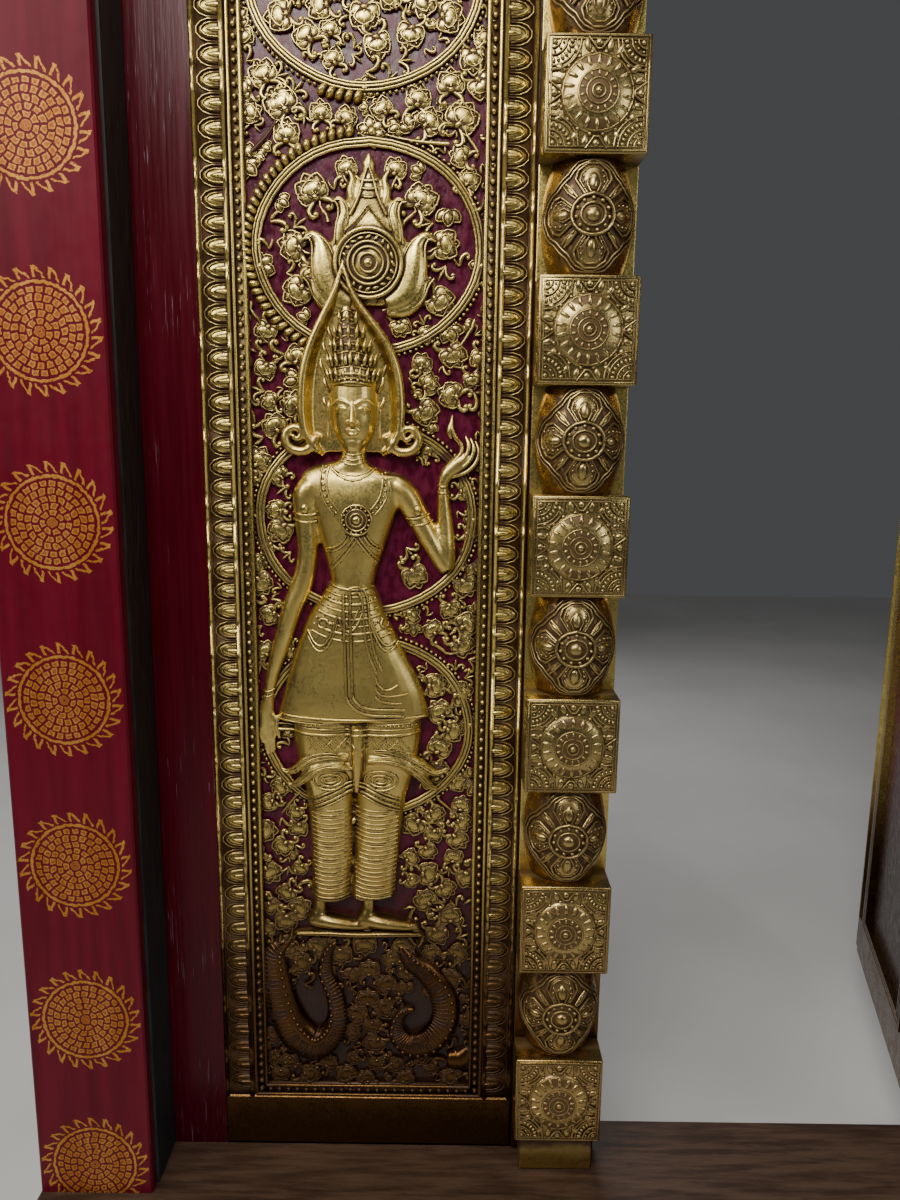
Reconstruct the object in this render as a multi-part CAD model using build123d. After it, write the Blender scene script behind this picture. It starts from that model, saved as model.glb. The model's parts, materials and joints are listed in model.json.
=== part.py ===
from build123d import *
from math import atan2, cos, degrees, hypot, pi, radians, sin
import os

# Double temple door in its timber frame, seen from the front, which faces -Y.
# The origin is the middle of the threshold's underside, below the face that the leaves close against.
# The left leaf is carved and closed, and the right leaf stands open.

# Doorway and frame
opening_width = 1200.0
opening_height = 2080.0
jamb_width = 170.0
post_depth = 80.0
facing_thickness = 20.0
facing_reveal = 4.0
facing_chamfer = 2.5
head_height = 170.0
threshold_height = 150.0
threshold_projection = 30.0
shelf_depth = 80.0
shelf_drop = 20.0
tenon_width = 90.0
tenon_thickness = 34.0
tenon_length = 70.0
joint_clearance = 0.2
peg_width = 14.0

# Leaves and their pivots
leaf_thickness = 45.0
leaf_gap = 3.0
leaf_end_gap = 4.0
meeting_gap = 3.0
right_leaf_open_angle = 105.0
pintle_radius = 17.0
pintle_length = 45.0
pintle_clearance = 0.5
pintle_end_gap = 0.3
pivot_block_width = 100.0
pivot_block_depth = 74.0
pivot_block_height = 92.0
pivot_block_corner = 18.0
tongue_depth = 12.0
tongue_thickness = 13.0

# Gilded front of a leaf
panel_width = 450.0
ground_recess = 6.0
moulding_proud = 8.0
outer_fillet_width = 10.0
petal_band_width = 28.0
inner_fillet_width = 9.0
bead_strip_width = 21.0
bead_radius = 4.5
rail_height = 87.0
rail_proud = 5.0
end_margin = 3.0
petal_pitch = 29.0
petal_length = 25.0
petal_width = 26.6
petal_tip_width = 14.0
petal_rise = 5.0
petal_slope = 24.0
fillet_chamfer = 2.0
hollow_depth = 7.0

# Astragal post on the left leaf's meeting edge
astragal_width = 130.0
astragal_gap = 2.0
astragal_back_gap = 3.0
astragal_post_thickness = 12.0
block_height = 137.0
block_projection = 55.0
barrel_height = 143.0
barrel_waist_radius = 61.0
barrel_end_radius = 47.0
first_block_centre = 131.0
block_chamfer = 2.5
block_collar_radius = 30.0
block_collar_width = 6.0
block_flower_radius = 19.0
corner_margin = 8.0
corner_reach = 34.0
barrel_flats = 16
barrel_bands = 5
barrel_disc_radius = 24.0
barrel_petal_length = 64.0
barrel_petal_width = 44.0
barrel_side_petal_length = 52.0
rosette_rise = 3.0
post_end_inset = 10.0
post_end_setback = 12.0
shortest_post_end = 20.0

# Carving on the left leaf's panel, as drawn on a field that reaches up to these limits
drawn_half_width = 157.0
drawn_bottom = 108.0
drawn_top = 1972.0
scroll_rise = 6.0
ring_width = 15.0
ring_half_width = 155.0
ring_half_height = 138.0
ring_heights = (1690.0, 1360.0, 1000.0, 694.0)
ground_line_height = 371.0
emblem_height = 1339.0
emblem_radius = 44.0
emblem_rise = 9.0
halo_rise = 13.0
hem_height = 715.0
medallion_radius = 22.0

# Battens, bolt and pegs on the backs of the leaves
batten_height = 100.0
batten_thickness = 28.0
batten_chamfer = 4.0
batten_hinge_inset = 32.0
batten_end_inset = 20.0
lower_batten_level = 250.0
middle_batten_level = 940.0
upper_batten_drop = 290.0
leaf_peg_width = 11.0
leaf_peg_depth = 24.0
leaf_peg_proud = 3.0
stile_peg_distance = 40.0
board_peg_distance = 170.0
bolt_level = 1130.0
bolt_height = 60.0
bolt_thickness = 38.0
bolt_end_inset = 15.0
bolt_clearance = 0.5
bolt_travel = 150.0
bolt_overhang = 10.0
bolt_chamfer = 5.0
bracket_width = 50.0
bracket_wall = 22.0
bracket_place = 60.0
keeper_place = 48.0
keeper_play = 3.0
knob_radius = 16.0
knob_length = 46.0
knob_play = 4.0
knob_facets = 12
knob_tenon_width = 13.0
knob_tenon_length = 20.0

# Places that follow from the sizes above
half_opening = opening_width / 2
half_frame = half_opening + jamb_width
facing_front = -(post_depth + facing_thickness)
head_bottom = threshold_height + opening_height
head_top = head_bottom + head_height
leaf_front = leaf_gap
leaf_back = leaf_gap + leaf_thickness
pivot_x = half_opening + leaf_thickness / 2
pivot_y = leaf_front + leaf_thickness / 2
shelf_top = threshold_height - shelf_drop
leaf_bottom = shelf_top + leaf_end_gap
leaf_top = head_bottom + shelf_drop - leaf_end_gap
ground_y = leaf_front + ground_recess
moulding_y = leaf_front - moulding_proud
meeting_x = meeting_gap / 2
panel_inner = astragal_width / 2 + astragal_gap
panel_outer = panel_inner + panel_width
panel_centre = -(panel_inner + panel_width / 2)
petal_moulding_width = outer_fillet_width + petal_band_width + inner_fillet_width
field_outer = panel_outer - petal_moulding_width
field_inner = panel_inner + petal_moulding_width
rail_bottom = threshold_height + end_margin
rail_top = threshold_height + rail_height
upper_rail_bottom = head_bottom - rail_height
upper_rail_top = head_bottom - end_margin
field_half_width = (field_outer - field_inner) / 2 - bead_strip_width
field_bottom = rail_height + bead_strip_width
field_top = opening_height - rail_height - bead_strip_width
spread = field_half_width / drawn_half_width
stretch = (field_top - field_bottom) / (drawn_top - drawn_bottom)
batten_length = pivot_x - batten_hinge_inset - batten_end_inset
batten_levels = (lower_batten_level, middle_batten_level, opening_height - upper_batten_drop)
far_bracket_place = bracket_place + bracket_width + bolt_travel + 2 * (knob_radius + knob_play)
bolt_length = far_bracket_place + bracket_width + bolt_travel + bolt_overhang - bolt_end_inset
astragal_front = ground_y - astragal_back_gap - astragal_post_thickness
block_front = moulding_y - block_projection
block_pitch = block_height + barrel_height
first_block_bottom = threshold_height + first_block_centre - block_height / 2
block_count = int((upper_rail_top - shortest_post_end - first_block_bottom) // block_pitch)
last_block_end = first_block_bottom + block_count * block_pitch
carving_plane = Plane(
    origin=(panel_centre, ground_y, threshold_height), x_dir=(1, 0, 0), z_dir=(0, -1, 0)
)


def block(x, y, z):
    """A squared timber between the two limits given on each axis."""
    size = Box(x[1] - x[0], y[1] - y[0], z[1] - z[0])
    return Pos((x[0] + x[1]) / 2, (y[0] + y[1]) / 2, (z[0] + z[1]) / 2) * size


def upright(profile, bottom, top):
    """A plan profile drawn on the ground, extruded from one height to another."""
    return Pos(0, 0, bottom) * extrude(profile, top - bottom, dir=(0, 0, 1))


def joined(solids):
    """Several shapes of one piece, fused in a single step."""
    first, *rest = [solid for shape in solids for solid in shape.solids()]
    return first.fuse(*rest) if rest else first


# The frame: two posts tenoned into a head and a threshold, with painted facing boards


def tenon_centre(side):
    return side * (half_opening + jamb_width / 2)


def tenon(side, seat, outward, clearance=0.0):
    """A jamb's tenon, or its mortise when a clearance is given, from the seat up or down."""
    middle = -post_depth / 2
    far = seat + outward * (tenon_length + clearance)
    half_width = tenon_width / 2 + clearance
    half_thickness = tenon_thickness / 2 + clearance
    return block(
        (tenon_centre(side) - half_width, tenon_centre(side) + half_width),
        (middle - half_thickness, middle + half_thickness),
        (min(seat, far), max(seat, far)),
    )


def frame_peg(side, seat, outward, clearance=0.0):
    """A square peg driven through the joint, flush at both ends."""
    level = seat + outward * tenon_length / 2
    half = peg_width / 2 + clearance
    return block(
        (tenon_centre(side) - half, tenon_centre(side) + half),
        (-post_depth, 0),
        (level - half, level + half),
    )


def frame_joints():
    """Side, seat height and direction of the four tenons."""
    for side in (-1, 1):
        yield side, threshold_height, -1
        yield side, head_bottom, 1


def jamb(side):
    outer, inner = side * half_frame, side * half_opening
    post = block(
        (min(outer, inner), max(outer, inner)), (-post_depth, 0), (threshold_height, head_bottom)
    )
    for place, seat, outward in frame_joints():
        if place == side:
            post = post + tenon(side, seat, outward) - frame_peg(side, seat, outward, joint_clearance)
    return post


def jamb_facing(side):
    """The painted board on a post's front, a little back from the post's inner arris."""
    outer, inner = side * half_frame, side * (half_opening + facing_reveal)
    board = block(
        (min(outer, inner), max(outer, inner)),
        (facing_front, -post_depth),
        (threshold_height, head_bottom + facing_reveal),
    )
    arris = board.edges().filter_by(Axis.Z).group_by(Axis.Y)[0]
    return chamfer(arris, facing_chamfer)


def head():
    beam = block((-half_frame, half_frame), (-post_depth, 0), (head_bottom, head_top))
    for side, seat, outward in frame_joints():
        if outward > 0:
            beam = beam - tenon(side, seat, outward, joint_clearance)
            beam = beam - frame_peg(side, seat, outward, joint_clearance)
    return beam


def head_facing():
    board = block(
        (-half_frame, half_frame), (facing_front, -post_depth), (head_bottom + facing_reveal, head_top)
    )
    arris = board.edges().filter_by(Axis.X).group_by(Axis.Y)[0]
    return chamfer(arris, facing_chamfer)


def threshold():
    """The sill, with a shelf behind its lip that carries the lower pivots."""
    front = facing_front - threshold_projection
    section = Plane.YZ * Polygon(
        (front, 0),
        (shelf_depth, 0),
        (shelf_depth, shelf_top),
        (0, shelf_top),
        (0, threshold_height),
        (front + threshold_projection / 2, threshold_height),
        (front, threshold_height - threshold_projection / 2),
        align=None,
    )
    sill = extrude(section, half_frame, both=True)
    for side, seat, outward in frame_joints():
        if outward < 0:
            sill = sill - tenon(side, seat, outward, joint_clearance)
            sill = sill - frame_peg(side, seat, outward, joint_clearance)
        socket_depth = pintle_length - leaf_end_gap + pintle_end_gap
        socket = Cylinder(
            pintle_radius + pintle_clearance, socket_depth, align=(Align.CENTER, Align.CENTER, Align.MAX)
        )
        sill = sill - Pos(side * pivot_x, pivot_y, shelf_top) * socket
    return sill


def pivot_block(side):
    """The block on the back of the head that a leaf's upper pintle turns in."""
    bottom = leaf_top + leaf_end_gap
    half, back, corner = pivot_block_width / 2, pivot_block_depth, pivot_block_corner
    profile = Polygon(
        (-half, 0), (half, 0), (half, back - corner), (half - corner, back), (corner - half, back),
        (-half, back - corner),
        align=None,
    )
    body = upright(Pos(side * pivot_x, 0) * profile, bottom, bottom + pivot_block_height)
    hole = Circle(pintle_radius + pintle_clearance)
    return body - upright(Pos(side * pivot_x, pivot_y) * hole, bottom, bottom + pivot_block_height)


# A leaf: a round-edged hinge stile and a board, tongued together and held by battens


def hinge_stile():
    """The plank that the leaf turns on, with its pintles turned on its two ends."""
    half = leaf_thickness / 2
    plank = Pos((-pivot_x - panel_outer) / 2, pivot_y) * Rectangle(pivot_x - panel_outer, leaf_thickness)
    section = plank + Pos(-pivot_x, pivot_y) * Circle(half)
    stile = upright(section, leaf_bottom, leaf_top)
    groove_x = (-panel_outer - tongue_depth - joint_clearance, -panel_outer)
    half_groove = tongue_thickness / 2 + joint_clearance
    middle = tongue_middle()
    stile = stile - block(groove_x, (middle - half_groove, middle + half_groove), (leaf_bottom, leaf_top))
    for foot in (leaf_bottom - pintle_length, leaf_top):
        stile = stile + upright(Pos(-pivot_x, pivot_y) * Circle(pintle_radius), foot, foot + pintle_length)
    return stile


def tongue_middle():
    return (ground_y + leaf_back) / 2


def leaf_board():
    """The broad board of a leaf, with the tongue that fits the hinge stile."""
    board = block((-panel_outer, -meeting_x), (ground_y, leaf_back), (leaf_bottom, leaf_top))
    half_tongue = tongue_thickness / 2
    middle = tongue_middle()
    tongue_x = (-panel_outer - tongue_depth, -panel_outer)
    tongue = block(tongue_x, (middle - half_tongue, middle + half_tongue), (leaf_bottom, leaf_top))
    return board + tongue


def petal_moulding(outer_edge, towards_panel, carved):
    """A border moulding of two fillets with a hollow between them that holds a row of petals."""
    top, ease, full = moulding_y, fillet_chamfer, petal_moulding_width
    hollow = moulding_y + hollow_depth
    first, second = outer_fillet_width, outer_fillet_width + petal_band_width
    section = (
        (0, ground_y), (0, top + ease), (ease, top), (first - ease, top), (first, hollow),
        (second, hollow), (second + ease, top), (full - ease, top), (full, top + ease), (full, ground_y),
    )
    points = [(outer_edge + towards_panel * across, depth) for across, depth in section]
    strip = upright(Polygon(*points, align=None), rail_top, upper_rail_bottom)
    if not carved:
        return strip
    row_length = upper_rail_bottom - rail_top
    count = int(row_length // petal_pitch)
    lowest = rail_top + (row_length - (count - 1) * petal_pitch) / 2
    root = outer_edge + towards_panel * second
    petals = [
        lotus_petal(root, -towards_panel, lowest + number * petal_pitch, hollow) for number in range(count)
    ]
    return joined([strip, *petals])


def lotus_petal(root, pointing, level, hollow):
    """One petal lying in the hollow, a sloping boss with its blunt tip away from the panel."""
    half, tip = petal_width / 2, petal_tip_width / 2
    boss = Polygon((0, -half), (petal_length, -tip), (petal_length, tip), (0, half), align=None)
    seat = Plane(origin=(root, hollow, level), x_dir=(pointing, 0, 0), z_dir=(0, -1, 0))
    return extrude(seat * boss, petal_rise, taper=petal_slope)


def bead_moulding(start, end):
    """A mitred strip with a fillet at each side and the rib that is cut into beads.

    It runs from one corner of the border to the next, anticlockwise seen from the front.
    """
    width, rib, middle = bead_strip_width, bead_radius, bead_strip_width / 2
    top = ground_y - moulding_y
    low = top - bead_radius
    edge = middle - rib - fillet_chamfer
    section = Polygon(
        (0, 0), (0, top), (edge, top), (middle - rib, low), (middle - rib / 2, top), (middle + rib / 2, top),
        (middle + rib, low), (width - edge, top), (width, top), (width, 0),
        align=None,
    )
    first, last = (Vector(corner[0], ground_y, corner[1]) for corner in (start, end))
    along = (last - first).normalized()
    across = Vector(0, -1, 0).cross(along)
    strip = extrude(Plane(first, x_dir=across, z_dir=along) * section, (last - first).length, dir=along)
    plan = Face(Wire.make_polygon([first, last, last + (across - along) * width,
                                   first + (across + along) * width], close=True))
    return strip & extrude(plan, top, dir=(0, -1, 0))


def bead_frame():
    """The four mitred strips round the sunk field."""
    names = ("hinge_side", "lower", "meeting_side", "upper")
    left, right, bottom, top = -field_outer, -field_inner, rail_top, upper_rail_bottom
    corners = ((left, top), (left, bottom), (right, bottom), (right, top))
    ends = corners[1:] + corners[:1]
    return {
        name + "_bead_moulding": bead_moulding(start, end)
        for name, start, end in zip(names, corners, ends)
    }


def panel_rail(bottom, top):
    """A plain gilded rail that closes the border at the foot or the head of a leaf."""
    rail = block((-panel_outer, -panel_inner), (leaf_front - rail_proud, ground_y), (bottom, top))
    return chamfer(rail.faces().sort_by(Axis.Y)[0].edges(), fillet_chamfer)


def batten(level):
    """A back batten with the corners of its free face eased."""
    bottom = threshold_height + level - batten_height / 2
    bar = block(
        (-batten_end_inset - batten_length, -batten_end_inset),
        (leaf_back, leaf_back + batten_thickness),
        (bottom, bottom + batten_height),
    )
    for place in leaf_peg_places():
        bar = bar - leaf_peg(place, level, joint_clearance)
    return chamfer(bar.faces().sort_by(Axis.Y)[-1].edges(), batten_chamfer)


def leaf_peg_places():
    """How far the trenails stand from a batten's hinge end: one in the stile, three in the board."""
    near, far = stile_peg_distance, board_peg_distance
    return near, far, batten_length - far, batten_length - near


def leaf_peg(place, level, clearance=0.0):
    """A square trenail through a batten into the leaf, or its hole."""
    half = leaf_peg_width / 2 + clearance
    x, z = place - batten_end_inset - batten_length, threshold_height + level
    return block(
        (x - half, x + half),
        (leaf_back - leaf_peg_depth - clearance, leaf_back + batten_thickness + leaf_peg_proud),
        (z - half, z + half),
    )


def leaf_pegs():
    return Compound([leaf_peg(place, level) for level in batten_levels for place in leaf_peg_places()])


def with_peg_holes(plank):
    """A plank of the leaf with the trenails' holes cut in it."""
    return plank - [
        leaf_peg(place, level, joint_clearance) for level in batten_levels for place in leaf_peg_places()
    ]


# The carved panel, drawn flat: across from its centre line and up from the threshold lip


def spot(across, up):
    """A place on the panel, stretched with the field from the size that the carving is drawn at."""
    return across * spread, field_bottom + (up - drawn_bottom) * stretch


def outline(*points):
    """A flat shape through places on the panel, facing the viewer whichever way round they are given."""
    places = [spot(*point) for point in points]
    turning = sum(a[0] * b[1] - b[0] * a[1] for a, b in zip(places, places[1:] + places[:1]))
    return Polygon(*(places if turning > 0 else places[::-1]), align=None)


def disc(across, up, radius, sides):
    return Pos(*spot(across, up)) * RegularPolygon(radius * spread, sides)


def rosette(across, up, radius, petals=5, turn=0.0):
    """A small open flower."""
    points = []
    for number in range(2 * petals):
        reach = radius if number % 2 == 0 else radius * 0.55
        angle = radians(turn) + pi * number / petals
        points.append((across + reach * sin(angle), up + reach * cos(angle)))
    return points


def tendril(across, up, radius, start, sweep, width, steps=3):
    """A stem that follows part of a circle and tapers to its tip."""
    outer, inner = [], []
    for number in range(steps + 1):
        share = number / steps
        angle = radians(start + sweep * share)
        half = width / 2 * (1 - 0.75 * share)
        reach = radius * (1 - 0.25 * share)
        outer.append((across + (reach + half) * cos(angle), up + (reach + half) * sin(angle)))
        inner.append((across + (reach - half) * cos(angle), up + (reach - half) * sin(angle)))
    return outer + inner[::-1]


def ring(up):
    """One of the large oval stems that the foliage springs from."""
    wide, tall = ring_half_width * spread, ring_half_height * stretch
    return Pos(*spot(0, up)) * (Ellipse(wide, tall) - Ellipse(wide - ring_width, tall - ring_width))


def ring_filling(up, flowers):
    """Flowers set round the inside of a ring, each with a curled tendril."""
    shapes = []
    for number in range(flowers):
        angle = pi * (2 * number + 1) / flowers
        across, rise = ring_half_width * sin(angle), ring_half_height * cos(angle)
        shapes.append(rosette(0.64 * across, up + 0.64 * rise, 17, petals=4, turn=degrees(angle)))
        shapes.append(tendril(0.86 * across, up + 0.86 * rise, 13, degrees(angle), 250, 8))
    return shapes


def spandrel_filling(up):
    """The flowers and tendrils in the corners between two rings, the same on both sides."""
    shapes = []
    for side in (-1, 1):
        shapes.append(rosette(side * 132, up, 19, turn=side * 20))
        shapes.append(rosette(side * 70, up + side * 6, 14, petals=4, turn=side * 50))
        shapes.append(tendril(side * 134, up + 44, 15, 90, side * 230, 8))
        shapes.append(tendril(side * 134, up - 44, 15, -90, -side * 230, 8))
    return shapes


def lower_creatures():
    """The pair of curled bodies under the figure's feet, with a spray between them."""
    shapes = [
        tendril(-86, 245, 50, 70, 250, 36, steps=8),
        tendril(86, 235, 50, 110, -250, 36, steps=8),
        rosette(-5, 300, 24, petals=6),
        rosette(-5, 245, 16),
        rosette(-5, 195, 20),
    ]
    for side in (-1, 1):
        shapes.append(rosette(side * 135, 345, 15))
        shapes.append(rosette(side * 138, 145, 15))
    return shapes


def scrollwork():
    """All the low foliage of the panel as one flat outline, raised by the same amount."""
    shapes = lower_creatures()
    for up, flowers in zip(ring_heights, (6, 8, 6, 6)):
        shapes += ring_filling(up, flowers)
    for upper, lower in zip(ring_heights, ring_heights[1:]):
        shapes += spandrel_filling((upper + lower) / 2)
    shapes += spandrel_filling(ring_heights[0] + 190)
    shapes += spandrel_filling(ring_heights[-1] - 190)
    return Sketch() + [ring(up) for up in ring_heights] + [outline(*points) for points in shapes]


def relief_ridge(path, facets):
    """A rounded carved form along a path of (across, up, half width, rise) stations."""
    stations = [(*spot(across, up), half * spread, rise) for across, up, half, rise in path]
    sections = []
    for number, (across, up, half, rise) in enumerate(stations):
        before = stations[max(number - 1, 0)]
        after = stations[min(number + 1, len(stations) - 1)]
        run, climb = after[0] - before[0], after[1] - before[1]
        length = hypot(run, climb)
        points = []
        for step in range(facets + 1):
            angle = pi * step / facets
            aside = half * cos(angle) / length
            points.append((across + climb * aside, up - run * aside, rise * sin(angle)))
        sections.append(Wire.make_polygon(points, close=True))
    return Solid.make_loft(sections, ruled=True)


def figure_halo():
    """The flame-shaped halo with its tall point, and the volutes at its foot."""
    right = ((48, 1110), (50, 1150), (46, 1195), (30, 1235), (8, 1262), (-15, 1289))
    left = ((-38, 1300), (-56, 1270), (-76, 1235), (-86, 1195), (-88, 1150), (-86, 1110))
    flame = outline((-60, 1092), (24, 1092), *right, (-27, 1342), *left)
    volutes = [extrude(disc(across, 1112, 20, 8), halo_rise - 2) for across in (-94, 58)]
    return [extrude(flame, halo_rise), *volutes]


def figure_body():
    """Head, trunk, skirt and legs, each one rounded form."""
    crown = [(-20, 1178, 30, 30), (-21, 1205, 24, 26), (-24, 1250, 13, 20), (-27, 1300, 5, 15)]
    head = [(-17, 1078, 15, 20), (-17, 1100, 20, 26), (-17, 1125, 28, 33), (-17, 1160, 30, 34),
            (-18, 1190, 26, 30)]
    trunk = [(-15, 1084, 22, 18), (-17, 1074, 58, 22), (-18, 1058, 76, 27), (-17, 1010, 58, 31),
             (-16, 965, 48, 29), (-15, 900, 35, 25), (-18, 870, 48, 27)]
    skirt = [(-16, 896, 38, 26), (-19, 870, 50, 28), (-20, 819, 73, 30), (-20, 765, 94, 30),
             (-19, hem_height, 111, 29)]
    left_leg = [(-56, hem_height, 38, 24), (-58, 650, 38, 26), (-54, 588, 33, 24), (-54, 500, 29, 22),
                (-56, 428, 24, 20), (-52, 385, 15, 16)]
    right_leg = [(28, hem_height, 40, 24), (24, 650, 42, 26), (17, 588, 36, 24), (10, 500, 31, 22),
                 (5, 428, 25, 20), (-2, 385, 15, 16)]
    return [relief_ridge(path, 5) for path in (crown, head, trunk, skirt, left_leg, right_leg)]


def figure_limbs():
    """Arms, hands and feet."""
    lowered_arm = [(-80, 1062, 20, 24), (-84, 1002, 18, 23), (-84, 947, 16, 21), (-104, 877, 14, 19),
                   (-134, 780, 11, 16), (-145, 722, 9, 14)]
    lowered_hand = [(-144, 728, 9, 12), (-145, 690, 10, 12), (-143, 645, 5, 8)]
    raised_upper_arm = [(44, 1062, 20, 24), (76, 1004, 17, 23), (113, 936, 16, 21)]
    raised_forearm = [(113, 930, 15, 20), (112, 989, 13, 18), (107, 1057, 9, 15)]
    raised_hand = [(107, 1050, 9, 14), (118, 1080, 11, 14), (142, 1098, 12, 12), (146, 1116, 7, 10),
                   (124, 1145, 3, 7)]
    left_foot = [(-44, 392, 20, 20), (-66, 388, 16, 18), (-106, 380, 7, 9)]
    right_foot = [(-14, 392, 20, 20), (20, 388, 16, 18), (78, 380, 7, 9)]
    paths = (lowered_arm, lowered_hand, raised_upper_arm, raised_forearm, raised_hand,
             left_foot, right_foot)
    return [relief_ridge(path, 4) for path in paths]


def figure_dress():
    """Breech tips, hem, sash, medallion and the plinth line under the feet."""
    left_tip = outline((-30, 668), (-122, 640), (-104, 618), (-60, 604), (-26, 612))
    right_tip = outline((0, 668), (118, 640), (98, 612), (50, 602), (2, 612))
    hem = outline((-132, hem_height - 7), (94, hem_height - 7), (92, hem_height + 7), (-130, hem_height + 7))
    sash = outline((-34, 880), (-6, 880), (-4, hem_height - 9), (-30, hem_height - 9))
    low, high = ground_line_height - 5, ground_line_height + 5
    plinth = outline((-108, low), (78, low), (78, high), (-108, high))
    return [
        extrude(left_tip, 27, taper=12),
        extrude(right_tip, 27, taper=12),
        extrude(hem, 32),
        extrude(sash, 33),
        extrude(disc(-12, 1000, medallion_radius, 10), 35),
        extrude(plinth, 14),
    ]


def emblem():
    """The disc with its spire and side lobes in the ring above the figure."""
    up = emblem_height
    plate = disc(5, up, emblem_radius, 18)
    boss = disc(5, up, emblem_radius * 0.4, 10)
    spire = outline((-30, up + 36), (-12, up + 61), (-4, up + 93), (5, up + 131), (14, up + 93),
                    (22, up + 61), (40, up + 36))
    lobes = [
        outline((5 + side * 30, up + 46), (5 + side * 72, up + 39), (5 + side * 52, up + 1),
                (5 + side * 30, up - 49))
        for side in (-1, 1)
    ]
    backing = Sketch() + [plate, spire, *lobes]
    return [extrude(backing, emblem_rise), extrude(plate, emblem_rise + 3, taper=30),
            extrude(boss, emblem_rise + 7, taper=20)]


def carved_panel():
    """The left leaf's board with everything on it carved from the solid."""
    relief = [extrude(scrollwork(), scroll_rise), *emblem(), *figure_halo(), *figure_body(),
              *figure_limbs(), *figure_dress()]
    return joined([leaf_board(), *[carving_plane * shape for shape in relief]])


# The astragal: a post of square blocks and turned barrels that covers the meeting edge


def astragal_backing():
    """The flat back of the post, stepped where it passes in front of the right leaf."""
    half, step = astragal_width / 2, ground_y - astragal_back_gap
    profile = Polygon(
        (-half, ground_y), (-half, astragal_front), (half, astragal_front), (half, step),
        (-meeting_x, step), (-meeting_x, ground_y),
        align=None,
    )
    return upright(profile, rail_bottom, upper_rail_top)


def facing_plane(depth, level):
    """A plane parallel to the front at a depth and height, on the post's centre line."""
    return Plane(origin=(0, depth, level), x_dir=(1, 0, 0), z_dir=(0, -1, 0))


def flat_flower(radius, petals):
    return Polygon(*rosette(0, 0, radius, petals), align=None)


def astragal_block():
    """One square block about its own middle, with a flower on its face and a quarter one in each corner."""
    half, half_height = astragal_width / 2, block_height / 2
    cube = block((-half, half), (block_front, astragal_front), (-half_height, half_height))
    cube = chamfer(cube.faces().sort_by(Axis.Y)[0].edges(), block_chamfer)
    collar_sides = 8
    collar = RegularPolygon(block_collar_radius, collar_sides) - RegularPolygon(
        block_collar_radius - block_collar_width, collar_sides
    )
    across, up, reach = half - corner_margin, half_height - corner_margin, corner_reach
    corners = [
        Polygon(
            (side * across, end * up), (side * (across - reach), end * up),
            (side * (across - 0.75 * reach), end * (up - 0.75 * reach)), (side * across, end * (up - reach)),
            align=None,
        )
        for side in (-1, 1)
        for end in (-1, 1)
    ]
    face = facing_plane(block_front, 0)
    ornaments = (collar, flat_flower(block_flower_radius, 6), *corners)
    return [cube] + [extrude(face * shape, rosette_rise, dir=(0, -1, 0)) for shape in ornaments]


def barrel_girth(height):
    """How far the barrel stands from its axis at a height above its middle."""
    share = 2 * height / barrel_height
    return barrel_waist_radius - (barrel_waist_radius - barrel_end_radius) * share**2


def carved_barrel(extra=0.0):
    """The barrel about its own middle, carved in narrow flats and bulging in the middle of its height."""
    band_height = barrel_height / barrel_bands
    flat_share = cos(pi / barrel_flats)
    bands = []
    for number in range(barrel_bands):
        foot = -barrel_height / 2 + number * band_height
        low, high = barrel_girth(foot) + extra, barrel_girth(foot + band_height) + extra
        slope = degrees(atan2((low - high) * flat_share, band_height))
        bands.append(Pos(0, 0, foot) * extrude(RegularPolygon(low, barrel_flats), band_height, taper=slope))
    return joined(bands)


def barrel_flower():
    """The outline of four broad petals, four narrow ones between them, and the disc they spring from."""
    petals = [RegularPolygon(barrel_disc_radius, 8)]
    for quarter in range(4):
        length = barrel_petal_length if quarter % 2 == 0 else barrel_side_petal_length
        half, shoulder = barrel_petal_width / 2, 0.64 * length
        broad = ((half / 2, 0), (half, shoulder), (0, length), (-half, shoulder), (-half / 2, 0))
        narrow = ((2, 0), (7, 0.8 * barrel_side_petal_length), (-7, 0.8 * barrel_side_petal_length), (-2, 0))
        petals.append(Rot(0, 0, 90 * quarter) * Polygon(*broad, align=None))
        petals.append(Rot(0, 0, 90 * quarter + 45) * Polygon(*narrow, align=None))
    return Sketch() + petals


def astragal_barrel():
    """One barrel about its own middle, with the flower standing off its front."""
    reach, half_height = barrel_waist_radius + rosette_rise, barrel_height / 2
    keep = block((-reach, reach), (-reach, astragal_front), (-half_height, half_height))
    petals = extrude(facing_plane(astragal_front, 0) * barrel_flower(), reach, dir=(0, -1, 0))
    return [carved_barrel() & keep, carved_barrel(rosette_rise) & petals]


def astragal_ends():
    """The plain plinth and cap that finish the post at the threshold and the head."""
    half, front = astragal_width / 2 - post_end_inset, block_front + post_end_setback
    limits = ((rail_bottom, first_block_bottom), (last_block_end, upper_rail_top))
    return [block((-half, half), (front, astragal_front), ends) for ends in limits]


def astragal():
    shapes = [astragal_backing(), *astragal_ends()]
    cube, barrel = astragal_block(), astragal_barrel()
    for number in range(block_count):
        centre = first_block_bottom + block_height / 2 + number * block_pitch
        shapes += [Pos(0, 0, centre) * shape for shape in cube]
        shapes += [Pos(0, 0, centre + block_pitch / 2) * shape for shape in barrel]
    return joined(shapes)


# The bolt: a bar that slides through two brackets into a keeper on the other leaf


def bolt_bracket(place, play):
    """A wooden staple on the leaf's back, its slot sized from the bar."""
    level = threshold_height + bolt_level
    half = bolt_height / 2 + play
    depth = bolt_thickness + 2 * play
    across = (-place - bracket_width, -place)
    body = block(
        across,
        (leaf_back, leaf_back + depth + bracket_wall),
        (level - half - bracket_wall, level + half + bracket_wall),
    )
    slot = block(across, (leaf_back, leaf_back + depth), (level - half, level + half))
    return chamfer(body.faces().sort_by(Axis.Y)[-1].edges(), bolt_chamfer) - slot


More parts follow.
